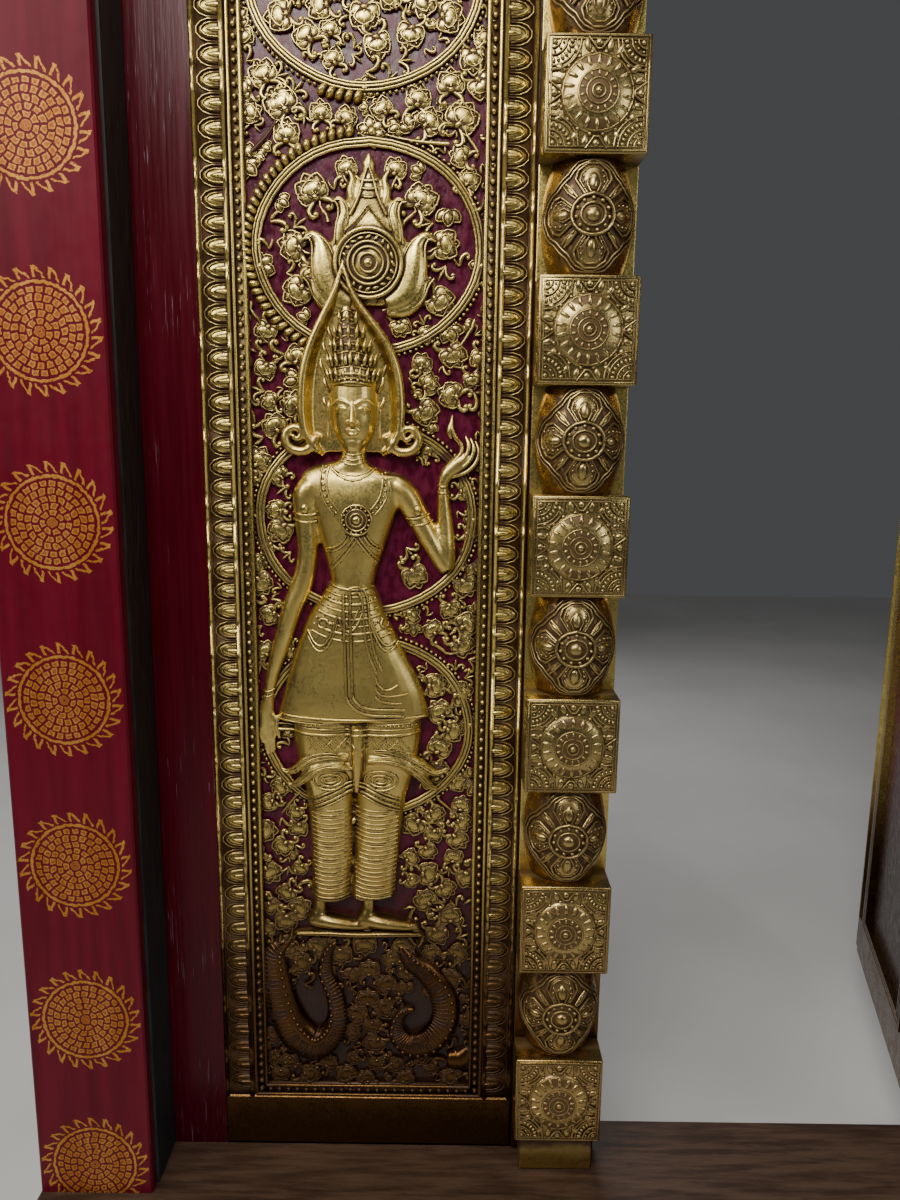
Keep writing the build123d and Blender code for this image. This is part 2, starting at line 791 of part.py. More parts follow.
def bolt_bar():
    level = threshold_height + bolt_level
    right = -bolt_end_inset
    bar = block(
        (right - bolt_length, right),
        (leaf_back + bolt_clearance, leaf_back + bolt_clearance + bolt_thickness),
        (level - bolt_height / 2, level + bolt_height / 2),
    )
    bar = chamfer(bar.faces().sort_by(Axis.X)[-1].edges(), bolt_chamfer)
    return bar - knob_seat() * knob_tenon(joint_clearance)


def knob_seat():
    """Where the knob stands on the bar, just clear of the far bracket when the bolt is drawn."""
    x = knob_radius + knob_play - far_bracket_place
    y = leaf_back + bolt_clearance + bolt_thickness
    return Location(Plane(origin=(x, y, threshold_height + bolt_level), z_dir=(0, 1, 0)))


def knob_tenon(clearance=0.0):
    """The knob's square tenon below its seat, or the mortise for it."""
    width = knob_tenon_width + 2 * clearance
    return Box(width, width, knob_tenon_length + clearance, align=(Align.CENTER, Align.CENTER, Align.MAX))


def bolt_knob():
    """A many-sided whittled knob, waisted above its foot, with a tenon that is glued in the bar."""
    stations = ((0.0, 0.7), (0.35, 0.5), (0.62, 1.0), (0.88, 0.85), (1.0, 0.4))
    bands = [knob_tenon()]
    for (foot, low), (head, high) in zip(stations, stations[1:]):
        rise = (head - foot) * knob_length
        slope = degrees(atan2((low - high) * knob_radius * cos(pi / knob_facets), rise))
        base = RegularPolygon(low * knob_radius, knob_facets)
        bands.append(Pos(0, 0, foot * knob_length) * extrude(base, rise, taper=slope))
    return knob_seat() * joined(bands)


# The pieces by name, each where it stands with the right leaf open


def as_right_leaf(shape):
    """A piece drawn for the left side, mirrored and swung open with the right leaf."""
    pivot = Axis((pivot_x, pivot_y, 0), (0, 0, 1))
    return shape.mirror(Plane.YZ).rotate(pivot, -right_leaf_open_angle)


def frame_pieces():
    return {
        "left_jamb": jamb(-1),
        "right_jamb": jamb(1),
        "head_beam": head(),
        "threshold": threshold(),
        "left_jamb_facing": jamb_facing(-1),
        "right_jamb_facing": jamb_facing(1),
        "head_facing": head_facing(),
        "frame_pegs": Compound([frame_peg(*joint) for joint in frame_joints()]),
        "left_upper_pivot_block": pivot_block(-1),
        "right_upper_pivot_block": pivot_block(1),
    }


def leaf_joinery(carved):
    """The pieces that both leaves have, drawn for the left side."""
    pieces = {
        "hinge_stile": with_peg_holes(hinge_stile()),
        "panel": with_peg_holes(carved_panel() if carved else leaf_board()),
        "outer_petal_moulding": petal_moulding(-panel_outer, 1, carved),
        "inner_petal_moulding": petal_moulding(-panel_inner, -1, carved),
        **bead_frame(),
        "lower_rail": panel_rail(rail_bottom, rail_top),
        "upper_rail": panel_rail(upper_rail_bottom, upper_rail_top),
        "leaf_pegs": leaf_pegs(),
    }
    for name, level in zip(("lower", "middle", "upper"), batten_levels):
        pieces[name + "_batten"] = batten(level)
    return pieces


def bolt_pieces():
    return {
        "bolt_bracket_meeting_side": bolt_bracket(bracket_place, bolt_clearance),
        "bolt_bracket_hinge_side": bolt_bracket(far_bracket_place, bolt_clearance),
        "bolt_bar": bolt_bar(),
        "bolt_knob": bolt_knob(),
    }


def all_pieces():
    pieces = frame_pieces()
    for name, shape in leaf_joinery(True).items():
        pieces["left_" + name] = shape
    pieces["left_astragal"] = astragal()
    pieces.update(bolt_pieces())
    for name, shape in leaf_joinery(False).items():
        pieces["right_" + name] = as_right_leaf(shape)
    pieces["right_bolt_keeper"] = as_right_leaf(bolt_bracket(keeper_place, keeper_play))
    return pieces


os.makedirs("parts", exist_ok=True)
for node, solid in all_pieces().items():
    export_step(solid, f"parts/{node}.step")
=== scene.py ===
import json
import math
import random

import bmesh
import bpy
from mathutils import Matrix, Vector, noise
from mathutils.bvhtree import BVHTree

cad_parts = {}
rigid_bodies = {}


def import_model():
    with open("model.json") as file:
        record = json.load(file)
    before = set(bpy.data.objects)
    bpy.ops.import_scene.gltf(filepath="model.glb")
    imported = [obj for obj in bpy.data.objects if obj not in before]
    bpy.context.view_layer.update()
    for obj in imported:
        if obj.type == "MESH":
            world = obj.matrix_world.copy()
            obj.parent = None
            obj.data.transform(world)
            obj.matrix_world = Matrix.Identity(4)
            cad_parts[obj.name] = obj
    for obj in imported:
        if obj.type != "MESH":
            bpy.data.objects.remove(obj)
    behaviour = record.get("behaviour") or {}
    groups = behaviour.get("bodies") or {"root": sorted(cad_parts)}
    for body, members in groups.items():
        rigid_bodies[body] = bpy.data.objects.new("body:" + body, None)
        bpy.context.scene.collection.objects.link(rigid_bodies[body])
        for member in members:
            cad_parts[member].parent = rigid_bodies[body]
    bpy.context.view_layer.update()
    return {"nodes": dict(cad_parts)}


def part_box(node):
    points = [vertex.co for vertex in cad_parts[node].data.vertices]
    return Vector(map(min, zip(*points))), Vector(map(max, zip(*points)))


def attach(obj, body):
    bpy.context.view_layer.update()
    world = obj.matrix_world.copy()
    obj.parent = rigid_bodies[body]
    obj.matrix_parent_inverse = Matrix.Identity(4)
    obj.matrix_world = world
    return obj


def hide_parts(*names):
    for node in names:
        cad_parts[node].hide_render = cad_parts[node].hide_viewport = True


# The double door of a temple hall, dressed for its photograph. The frame brings in the solids with the
# carved left leaf closed and the plain right leaf open. Everything stands in the row frame, in metres.
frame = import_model()


# Camera, at chest height close in front of the left leaf, tipped down a little.
# It stands where the photographer stood, with the photograph's slight roll.
camera = bpy.data.objects.new("camera", bpy.data.cameras.new("camera"))
camera.data.lens = 27.0
camera.data.sensor_width = 36.0
camera.data.clip_start = 0.05
turned = Matrix.Rotation(math.radians(90 - 10.4), 4, "X") @ Matrix.Rotation(math.radians(0.757), 4, "Z")
camera.matrix_world = Matrix.Translation((-0.173, -1.258, 1.267)) @ turned
bpy.context.scene.collection.objects.link(camera)
bpy.context.scene.camera = camera


# Studio light: two soft panels high in front and on the left, a weaker one on the right, a strip overhead
# and a panel behind for the battens. The world is a dim even grey.
def softbox(name, place, aim, width, height, power, tint=(1, 1, 1)):
    lamp = bpy.data.lights.new(name, "AREA")
    lamp.shape = "RECTANGLE"
    lamp.size, lamp.size_y = width, height
    lamp.energy = power
    lamp.color = tint
    holder = bpy.data.objects.new(name, lamp)
    towards = (Vector(aim) - Vector(place)).to_track_quat("-Z", "Y")
    holder.matrix_world = Matrix.Translation(place) @ towards.to_matrix().to_4x4()
    bpy.context.scene.collection.objects.link(holder)


softbox("front_high", (-0.6, -1.7, 2.7), (-0.3, 0, 1.5), 0.8, 0.8, 36, (1.0, 0.97, 0.9))
softbox("high_left", (-2.2, -1.8, 2.6), (-0.3, 0, 1.5), 1.2, 1.2, 42, (1.0, 0.97, 0.92))
softbox("right_fill", (2.0, -2.2, 2.0), (-0.2, 0, 1.4), 0.8, 1.6, 16, (0.95, 0.97, 1.0))
softbox("overhead", (-0.3, -0.7, 3.4), (-0.3, 0.0, 1.6), 1.8, 0.5, 14, (1.0, 0.98, 0.95))
softbox("behind", (-0.8, 3.0, 2.6), (0, 0, 1.1), 2.0, 2.0, 45)
world = bpy.data.worlds.new("studio")
world.use_nodes = True
world.node_tree.nodes["Background"].inputs["Color"].default_value = (0.5, 0.51, 0.53, 1)
world.node_tree.nodes["Background"].inputs["Strength"].default_value = 0.13
bpy.context.scene.world = world


# Floor: a pale matt sweep under the threshold, with the faintest unevenness.
class Signal:
    """One output of a shader node. Arithmetic on it adds Math nodes."""

    def __init__(self, finish, socket):
        self.finish, self.socket = finish, socket

    def maths(self, operation, *values):
        return self.finish.node("ShaderNodeMath", {"operation": operation}, dict(enumerate((self, *values))))

    def __add__(self, other):
        return self.maths("ADD", other)

    def __sub__(self, other):
        return self.maths("SUBTRACT", other)

    def __rsub__(self, other):
        return self.finish.node("ShaderNodeMath", {"operation": "SUBTRACT"}, {0: other, 1: self})

    def __mul__(self, other):
        return self.maths("MULTIPLY", other)

    def __truediv__(self, other):
        return self.maths("DIVIDE", other)

    def __abs__(self):
        return self.maths("ABSOLUTE")

    def ramp(self, low, high, start=0.0, end=1.0):
        """Smoothly from start to end while the value goes from low to high."""
        return self.finish.node(
            "ShaderNodeMapRange", {"interpolation_type": "SMOOTHSTEP"},
            {"Value": self, "From Min": low, "From Max": high, "To Min": start, "To Max": end},
        )

    def band(self, middle, half, soft):
        """1 where the value lies within half of the middle, fading out over the soft width."""
        return abs(self - middle).ramp(half, half + soft, 1.0, 0.0)


class Finish:
    """A painted or gilded finish: a material whose nodes end in one Principled shader."""

    def __init__(self, name, **numbers):
        self.material = bpy.data.materials.new(name)
        self.material.use_nodes = True
        self.tree = self.material.node_tree
        self.tree.nodes.clear()
        named = {key.replace("_", " ").title().replace("Ior", "IOR"): value for key, value in numbers.items()}
        self.shader = self.node("ShaderNodeBsdfPrincipled", {}, named).socket
        self.node("ShaderNodeOutputMaterial", {}, {"Surface": Signal(self, self.shader)})

    def node(self, kind, settings, sockets, output=0):
        made = self.tree.nodes.new(kind)
        for setting, value in settings.items():
            if setting == "stops":
                ramp = made.color_ramp
                while len(ramp.elements) < len(value):
                    ramp.elements.new(0.5)
                for element, (position, colour) in zip(ramp.elements, value):
                    element.position, element.color = position, (*colour, 1)
            else:
                setattr(made, setting, value)
        for place, value in sockets.items():
            if isinstance(value, Signal):
                self.tree.links.new(value.socket, made.inputs[place])
            elif isinstance(value, tuple) and len(value) == 3 and made.inputs[place].type == "RGBA":
                made.inputs[place].default_value = (*value, 1)
            else:
                made.inputs[place].default_value = value
        return Signal(self, made.outputs[output]) if made.outputs else None

    def feed(self, **links):
        """Links what varies over the surface to the shader's own sockets."""
        for key, value in links.items():
            self.tree.links.new(value.socket, self.shader.node.inputs[key.replace("_", " ").title()])

    def place(self, scale):
        where = self.node("ShaderNodeTexCoord", {}, {}, "Object")
        return self.node("ShaderNodeMapping", {}, {"Vector": where, "Scale": scale})

    def axes(self):
        where = self.node("ShaderNodeTexCoord", {}, {}, "Object")
        return [self.node("ShaderNodeSeparateXYZ", {}, {"Vector": where}, axis) for axis in "XYZ"]

    def cloud(self, scale, detail=4.0, stretch=(1, 1, 1), rough=0.5):
        """A noise value, about 0.3 to 0.7, with features of about 1 / scale metres."""
        return self.node(
            "ShaderNodeTexNoise", {"noise_dimensions": "3D"},
            {"Vector": self.place(stretch), "Scale": scale, "Detail": detail, "Roughness": rough},
        )

    def blend(self, share, first, second, mode="MIX"):
        mixed = self.node("ShaderNodeMix", {"data_type": "RGBA", "blend_type": mode}, {0: share}, 2)
        for value, place in ((first, 6), (second, 7)):
            if isinstance(value, Signal):
                self.tree.links.new(value.socket, mixed.socket.node.inputs[place])
            else:
                mixed.socket.node.inputs[place].default_value = (*value, 1)
        return mixed

    def bump(self, height, depth, strength=1.0):
        return self.node("ShaderNodeBump", {}, {"Height": height, "Distance": depth, "Strength": strength})


floor_finish = Finish("pale_floor", roughness=0.6)
floor_finish.feed(base_color=floor_finish.blend(
    floor_finish.cloud(1.5).ramp(0.35, 0.65), (0.62, 0.61, 0.59), (0.68, 0.67, 0.65)
))
sweep = bmesh.new()
bmesh.ops.create_grid(sweep, x_segments=1, y_segments=1, size=6.0)
floor = bpy.data.objects.new("floor", bpy.data.meshes.new("floor"))
sweep.to_mesh(floor.data)
sweep.free()
floor.data.materials.append(floor_finish.material)
bpy.context.scene.collection.objects.link(floor)


# Posts and head beam: squared hardwood, painted charcoal where the reveals show. The paint is flat and
# thin, and a little bluer and lighter towards the floor.
def dress(finish, *nodes):
    """Gives a solid of the frame its finish."""
    for node in nodes:
        slots = frame["nodes"][node].data.materials
        slots.clear()
        slots.append(finish.material)


charcoal = Finish("charcoal_paint", specular_ior_level=0.35)
height = charcoal.axes()[2]
grain = charcoal.cloud(30, 6, (6, 6, 0.6))
charcoal.feed(
    base_color=charcoal.blend(
        height.ramp(0.25, 0.95, 1.0, 0.0) * 0.8,
        charcoal.blend(grain.ramp(0.35, 0.7), (0.009, 0.009, 0.009), (0.02, 0.019, 0.018)),
        charcoal.blend(grain.ramp(0.4, 0.6), (0.012, 0.02, 0.022), (0.022, 0.032, 0.034)),
    ),
    roughness=grain.ramp(0.3, 0.7, 0.42, 0.6),
    normal=charcoal.bump(grain, 0.0006, 0.5),
)
dress(charcoal, "left_jamb", "right_jamb", "head_beam")


# Facing boards: crimson lacquered planks on the front of the posts and the head. Round gold medallions are
# stencilled on the two upright ones, one above another.
medallion_across = 0.687
medallion_pitch = 0.2376
lowest_medallion = 0.436
medallion_radius = 0.079
lacquer_dark, lacquer_light = (0.085, 0.003, 0.01), (0.125, 0.005, 0.016)
stencil_gold = (0.43, 0.17, 0.024)

facing = Finish("crimson_facing", specular_ior_level=0.14, coat_weight=0.02, coat_roughness=0.25)
across, depth, height = facing.axes()
aside = (abs(across) - medallion_across) / medallion_radius
steps = (height - lowest_medallion) / medallion_pitch + 0.5
level = (steps.maths("FRACT") - 0.5) * (medallion_pitch / medallion_radius)
reach = (aside * aside + level * level).maths("SQRT")
turn = level.maths("ARCTAN2", aside) / (2 * math.pi)
jitter = facing.cloud(150, 2).ramp(0.3, 0.7, -0.012, 0.012)
worn = facing.cloud(420, 3).ramp(0.34, 0.42)


def ring_line(middle, half):
    return (reach + jitter).band(middle, half, 0.012)


def ring_cells(middle, half, count, share, lean=0.0):
    """A ring of separate cells, each a share of its pitch wide, leaning as it goes outwards."""
    beat = ((turn + reach * lean) * count + jitter * 4 + 0.5).maths("FRACT")
    return (reach + jitter).band(middle, half, 0.01) * beat.band(0.5, share / 2, 0.06)


def flames(count, foot, tip):
    """Separate pointed curls round the edge, each drawn as an outline."""
    beat = abs(((turn + reach * 0.1) * count + jitter * 4).maths("FRACT") - 0.5)
    rising = (reach + jitter).ramp(foot, tip, 0.36, 0.1)
    body = (beat - rising).ramp(0.0, 0.06, 1.0, 0.0)
    heart = (beat - rising + 0.17).ramp(0.0, 0.06, 1.0, 0.0)
    return (body - heart) * (reach + jitter).band((foot + tip) / 2, (tip - foot) / 2, 0.01)


stencil, cells = ring_line(0.05, 0.028), ring_line(0.05, 0.02)
for middle, half, count, lean in (
    (0.16, 0.036, 7, 0.1), (0.275, 0.04, 12, -0.1), (0.395, 0.042, 17, 0.08), (0.52, 0.044, 22, -0.05),
    (0.64, 0.038, 27, 0.0),
):
    outer = ring_cells(middle, half, count, 0.66, lean)
    inner = ring_cells(middle, half - 0.018, count, 0.34, lean)
    stencil, cells = stencil.maths("MAXIMUM", outer), cells.maths("MAXIMUM", inner)
stencil = stencil.maths("MAXIMUM", ring_line(0.755, 0.018)).maths("MAXIMUM", flames(22, 0.82, 0.99))
front_only = depth.ramp(-0.0975, -0.0985)
upright_only = height.ramp(2.2, 2.201, 1.0, 0.0)
stencil = stencil * front_only * upright_only * worn
streak = facing.cloud(9, 5, (7, 7, 0.5))
lacquer = facing.blend(streak.ramp(0.25, 0.75), lacquer_dark, lacquer_light)
gold_paint = facing.blend(streak.ramp(0.4, 0.6), stencil_gold, (0.5, 0.24, 0.045))
painted = facing.blend(cells * 0.75, gold_paint, (0.26, 0.06, 0.02))
facing.feed(
    base_color=facing.blend(stencil, lacquer, painted),
    metallic=stencil * 0.45,
    roughness=facing.cloud(40, 4).ramp(0.3, 0.7, 0.3, 0.42) + stencil * 0.15,
    normal=facing.bump(streak * 0.3 + stencil * 0.4, 0.0005, 0.5),
)
dress(facing, "left_jamb_facing", "right_jamb_facing", "head_facing")


# Hinge stiles: the thick crimson plank that each leaf turns on, rounded at its hinge edge and polished by
# lacquer. Fine pale scratches run up it where hands and banners rub.
stile = Finish("crimson_stile", specular_ior_level=0.16, coat_weight=0.05, coat_roughness=0.12)
streak = stile.cloud(16, 6, (10, 10, 0.35))
scratch = stile.cloud(120, 2, (7, 7, 0.12), 0.7).ramp(0.66, 0.7) * stile.cloud(5, 2).ramp(0.46, 0.58)
shade = stile.cloud(3, 3, (1, 1, 0.6)).ramp(0.35, 0.65)
stile.feed(
    base_color=stile.blend(
        scratch * 0.5,
        stile.blend(streak.ramp(0.3, 0.7) * 0.5 + shade * 0.5, (0.042, 0.001, 0.004), (0.078, 0.0015, 0.008)),
        (0.35, 0.3, 0.34),
    ),
    roughness=streak.ramp(0.3, 0.7, 0.22, 0.34) + scratch * 0.2,
    normal=stile.bump(streak, 0.0008, 0.5),
)
dress(stile, "left_hinge_stile", "right_hinge_stile")


# Bare timber: threshold, pivot blocks, pegs and bolt are oiled hardwood, darker or lighter with handling.
def oiled_wood(name, dark, light, along=(12, 12, 1.0), rough=(0.38, 0.55)):
    wood = Finish(name, specular_ior_level=0.4)
    wave = wood.cloud(9, 7, along, 0.62)
    pore = wood.cloud(60, 3, along, 0.6)
    wood.feed(
        base_color=wood.blend(wave.ramp(0.35, 0.65) * 0.75 + pore.ramp(0.4, 0.7) * 0.25, dark, light),
        roughness=wave.ramp(0.3, 0.7, *rough),
        normal=wood.bump(wave + pore * 0.6, 0.0012, 0.5),
    )
    return wood


dress(oiled_wood("threshold_wood", (0.035, 0.018, 0.011), (0.09, 0.05, 0.03), (1.0, 9, 9)), "threshold")
dress(oiled_wood("pivot_block_wood", (0.08, 0.035, 0.018), (0.2, 0.1, 0.05)),
      "left_upper_pivot_block", "right_upper_pivot_block")
dress(oiled_wood("peg_wood", (0.06, 0.03, 0.018), (0.16, 0.085, 0.05)),
      "frame_pegs", "left_leaf_pegs", "right_leaf_pegs")
dress(oiled_wood("bolt_wood", (0.11, 0.05, 0.024), (0.26, 0.14, 0.07), (1.0, 11, 11), (0.25, 0.4)),
      "bolt_bar", "bolt_knob", "bolt_bracket_meeting_side", "bolt_bracket_hinge_side", "right_bolt_keeper")


# Battens: three bars across the back of each leaf, in a thin dull red that the grain shows through.
batten = Finish("batten_lacquer", specular_ior_level=0.45)
streak = batten.cloud(11, 6, (1.0, 1.0, 10), 0.6)
batten.feed(
    base_color=batten.blend(streak.ramp(0.35, 0.7), (0.055, 0.008, 0.01), (0.12, 0.022, 0.02)),
    roughness=streak.ramp(0.3, 0.7, 0.4, 0.58),
    normal=batten.bump(streak, 0.001, 0.5),
)
dress(batten, *[f"{leaf}_{place}_batten" for leaf in ("left", "right")
                for place in ("lower", "middle", "upper")])


# Boards of the leaves: the right one is plain maroon lacquer. The left one carries the carving, drawn below.
ground_colours = (0.05, 0.002, 0.013), (0.1, 0.005, 0.026)
maroon = Finish("maroon_ground", specular_ior_level=0.22, coat_weight=0.12, coat_roughness=0.1)
brushed = maroon.cloud(60, 6, (1.6, 1.6, 0.9))
height = maroon.axes()[2]
# Painted shade: the lacquer darkens to a dark brown towards the bottom, where less light falls.
maroon.feed(
    base_color=maroon.blend(
        height.ramp(0.42, 0.75, 1.0, 0.0),
        maroon.blend(brushed.ramp(0.35, 0.65), *ground_colours),
        (0.026, 0.01, 0.006),
    ),
    roughness=brushed.ramp(0.3, 0.7, 0.2, 0.42),
    normal=maroon.bump(brushed, 0.0016, 0.8),
)
dress(maroon, "left_panel", "right_panel")


# Gilding: gold leaf over brown-red size, bright on what stands proud. Painted shade makes it dull and brown
# in the hollows, and darker and browner towards the bottom, darkest on low carving near the ground.
def gilded(name, leaf=(0.74, 0.58, 0.18), size=(0.075, 0.034, 0.012), closed=0.3, soft=0.0):
    """The finish of a gilded piece, with painted shade. Its mesh says how hollow each place is, closed is how
    hollow a place must be to be painted fully in the brown size colour as shade, and soft makes broad smooth
    forms gleam evenly."""
    gold = Finish(name, specular_ior_level=0.5)
    depth, height = gold.axes()[1:]
    patches, fine = gold.cloud(34, 6, rough=0.6), gold.cloud(300, 4, rough=0.6)
    # Painted shade: where the mesh says a place is closed in, the brown size colour replaces the gold.
    hollow = gold.node("ShaderNodeAttribute", {"attribute_name": "hollow"}, {}, 2)
    unshaded = (hollow + patches.ramp(0.3, 0.7, 0.03, -0.06)).ramp(closed * 0.25, closed, 1.0, 0.0)
    # Painted shade: the gold turns browner towards the bottom of the door, where less light falls.
    low = height.ramp(0.25, 1.05, 1.0, 0.0)
    bright = gold.blend(patches.ramp(0.35, 0.65) * 0.55, leaf,
                        (leaf[0] * 0.8, leaf[1] * 0.74, leaf[2] * 0.66))
    bright = gold.blend(low * 0.55, bright, (0.36, 0.21, 0.075))
    # Painted shade: carving that stands little proud near the bottom turns dark brown.
    bright = gold.blend(height.ramp(0.4, 0.7, 0.95, 0.0) * depth.ramp(-0.02, -0.008), bright,
                        (0.085, 0.038, 0.014))
    gold.feed(
        base_color=gold.blend(unshaded, size, bright),
        metallic=unshaded.ramp(0.0, 1.0, 0.35, 1.0),
        roughness=fine.ramp(0.3, 0.7, 0.17 + soft, 0.3 + soft * 0.6)
        + patches.ramp(0.3, 0.7, 0.0, 0.12 - soft * 0.6) + (1 - unshaded) * 0.2,
        normal=gold.bump(fine * 0.3 + patches, 0.0009 - soft * 0.005, 0.6),
    )
    return gold


border_gold = gilded("border_gilding")
dress(border_gold, *[
    node for node in frame["nodes"]
    if "moulding" in node or node.endswith("_rail") or node == "left_astragal"
])


# Left board: one broad hardwood plank with a tongue into the stile, lacquered maroon. All the carving was
# left standing on it when the ground was cut back.
lip, ground, panel_middle = 0.15, 0.009, -0.292
board_low, board_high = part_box("left_panel")
carved_pieces = []


def leaf_piece(name, mesh, finish, slot, *nodes, body="left_leaf", smooth=True):
    """Makes a finished piece of a mesh, gives it its finish, and hangs it on its leaf."""
    carved_pieces.append(name)
    mesh.name = name
    mesh.materials.clear()
    mesh.materials.append(finish.material)
    mesh.polygons.foreach_set("use_smooth", [smooth] * len(mesh.polygons))
    piece = bpy.data.objects.new(name, mesh)
    bpy.context.scene.collection.objects.link(piece)
    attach(piece, body)
    if nodes:
        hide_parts(*nodes)


def mesh_of(work):
    """The finished mesh of a bmesh, its faces turned outwards."""
    bmesh.ops.recalc_face_normals(work, faces=work.faces)
    mesh = bpy.data.meshes.new("work")
    work.to_mesh(mesh)
    work.free()
    return mesh


def cut_away(work, place, normal):
    """Cuts off what lies beyond a plane."""
    bmesh.ops.bisect_plane(work, geom=work.verts[:] + work.edges[:] + work.faces[:], plane_co=place,
                           plane_no=normal, clear_outer=True)


def timber(low, high, ease, work=None):
    """A squared timber between two corners, with its arrises eased."""
    work = work or bmesh.new()
    low, high = Vector(low), Vector(high)
    placed = Matrix.Translation((low + high) / 2) @ Matrix.Diagonal((*(high - low), 1))
    made = bmesh.ops.create_cube(work, size=1, matrix=placed)
    if ease:
        edges = {edge for corner in made["verts"] for edge in corner.link_edges}
        bmesh.ops.bevel(work, geom=list(edges), offset=ease, segments=2, profile=0.5, affect="EDGES",
                        material=-1)
    return work


board = timber((-0.517, ground, board_low.z), (-0.0015, 0.048, board_high.z), 0.0008)
timber((-0.529, 0.022, board_low.z), (-0.5165, 0.035, board_high.z), 0, board)
leaf_piece("left_board", mesh_of(board), maroon, "carved_gilding", "left_panel", smooth=False)


# Border mouldings: between two rounded fillets a hollow holds a row of lotus petals whose tips point away
# from the field. Each was carved with a rim, a body and a tongue, and no two stand quite alike.
rail_top, rail_foot = 0.237, 2.143
petal_pitch, fillet_crest, hollow_depth = 0.029, -0.0052, 0.0015
chance = random.Random(11)


def run_moulding(section, low, high, step=0.018, wave=0.0005):
    """A straight moulding from one height to another, with the slight waver of handwork."""
    work = bmesh.new()
    face = work.faces.new([work.verts.new((across, depth, low)) for across, depth in section])
    count = max(2, round((high - low) / step))
    for _ in range(count):
        grown = bmesh.ops.extrude_face_region(work, geom=[face])
        face = next(item for item in grown["geom"] if isinstance(item, bmesh.types.BMFace))
        bmesh.ops.translate(work, verts=face.verts, vec=(0, 0, (high - low) / count))
    for corner in work.verts:
        if low + 0.001 < corner.co.z < high - 0.001 and corner.co.y < ground - 0.001:
            drift = noise.noise_vector(Vector((section[0][0] * 40, corner.co.z * 22, corner.co.x * 60)))
            corner.co.x += drift.x * wave
            corner.co.y += drift.y * wave
    return work


def half_round(left, right, crest, foot, steps=5):
    """The section of a rounded fillet from its left foot to its right one."""
    middle, half = (left + right) / 2, (right - left) / 2
    return [
        (middle - half * math.cos(math.pi * n / steps),
         foot - (foot - crest) * math.sin(math.pi * n / steps) ** 0.7)
        for n in range(steps + 1)
    ]


def set_in(work, shape, matrix):
    """Adds a copy of a small carved shape to a piece."""
    copy = shape.copy()
    copy.transform(matrix)
    work.from_mesh(copy)
    bpy.data.meshes.remove(copy)


def dome_shape(around=10, rings=3):
    """A low boss that rises towards the viewer, one unit in every direction, set a little into the ground."""
    work = bmesh.new()
    bmesh.ops.create_uvsphere(work, u_segments=around, v_segments=2 * rings, radius=1.0,
                              matrix=Matrix.Rotation(math.pi / 2, 4, "X"))
    behind = [corner for corner in work.verts if corner.co.y > 0.05]
    bmesh.ops.delete(work, geom=behind, context="VERTS")
    return mesh_of(work)


def strokes_mesh(strokes, sides=1, between=2):
    """Rounded carved lines: each is a list of (place, half width), joined smoothly from point to point."""
    line = bpy.data.curves.new("strokes", "CURVE")
    line.dimensions = "3D"
    line.bevel_depth, line.bevel_resolution, line.resolution_u = 1.0, sides, between
    line.use_fill_caps = True
    for stroke in strokes:
        spline = line.splines.new("NURBS")
        spline.points.add(len(stroke) - 1)
        for point, (place, half_width) in zip(spline.points, stroke):
            point.co = (*place, 1)
            point.radius = half_width
        spline.order_u = 3
        spline.use_endpoint_u = True
    holder = bpy.data.objects.new("strokes", line)
    mesh = bpy.data.meshes.new_from_object(holder)
    bpy.data.objects.remove(holder)
    bpy.data.curves.remove(line)
    return mesh


bead = dome_shape(8, 2)
boss = dome_shape(10, 3)
petal_parts = bmesh.new()
arch = ((-0.004, 0.0133), (0.008, 0.0135), (0.018, 0.0122), (0.0256, 0.0068), (0.0298, 0.0),
        (0.0256, -0.0068), (0.018, -0.0122), (0.008, -0.0135), (-0.004, -0.0133))
petal_parts.from_mesh(strokes_mesh([
    [(Vector((along, -0.0016, side)), 0.0014) for along, side in arch],
    [(Vector((along * 0.74, -0.0038, side * 0.62)), 0.0013) for along, side in arch],
], 0, 1))
set_in(petal_parts, boss, Matrix.Translation((0.001, 0, 0)) @ Matrix.Diagonal((0.026, 0.0048, 0.0116, 1)))
set_in(petal_parts, bead, Matrix.Translation((0.001, -0.0028, 0))
       @ Matrix.Diagonal((0.0165, 0.0042, 0.0038, 1)))
cut_away(petal_parts, (-0.003, 0, 0), (-1, 0, 0))
petal = mesh_of(petal_parts)

for name, outer, towards in (("outer", -0.517, 1), ("inner", -0.067, -1)):
    lines = sorted(outer + towards * width for width in (0.0, 0.0078, 0.0378, 0.047))
    section = [(lines[0], ground)] + half_round(lines[0] + 0.0002, lines[1], fillet_crest, 0.004)
    section += [(lines[1] + 0.001, hollow_depth), (lines[2] - 0.001, hollow_depth)]
    section += half_round(lines[2], lines[3] - 0.0002, fillet_crest, 0.004) + [(lines[3], ground)]
    moulding = run_moulding(section, rail_top, rail_foot)
    count = int((rail_foot - rail_top) / petal_pitch)
    for number in range(count):
        level = (rail_top + rail_foot) / 2 + (number - (count - 1) / 2) * petal_pitch
        turned = Matrix.Rotation(0 if towards < 0 else math.pi, 4, "Z")
        turned = turned @ Matrix.Rotation(chance.uniform(-0.04, 0.04), 4, "Y")
        size = [chance.uniform(*limits) for limits in ((0.96, 1.03), (0.85, 1.15), (0.97, 1.04))]
        flip = Matrix.Diagonal((1, -1, 1, 1)) if towards > 0 else Matrix.Identity(4)
        set_in(moulding, petal, Matrix.Translation((outer + towards * 0.0378, hollow_depth, level)) @ turned
               @ flip @ Matrix.Diagonal((*size, 1)))
    leaf_piece(f"left_{name}_petals", mesh_of(moulding), border_gold, "gilding",
               f"left_{name}_petal_moulding")


# Bead mouldings: mitred at the corners of the field, with a row of separate round beads between two fillets.
bead_middle, bead_pitch = 0.0105, 0.0142
field_left, field_right = -0.470, -0.114


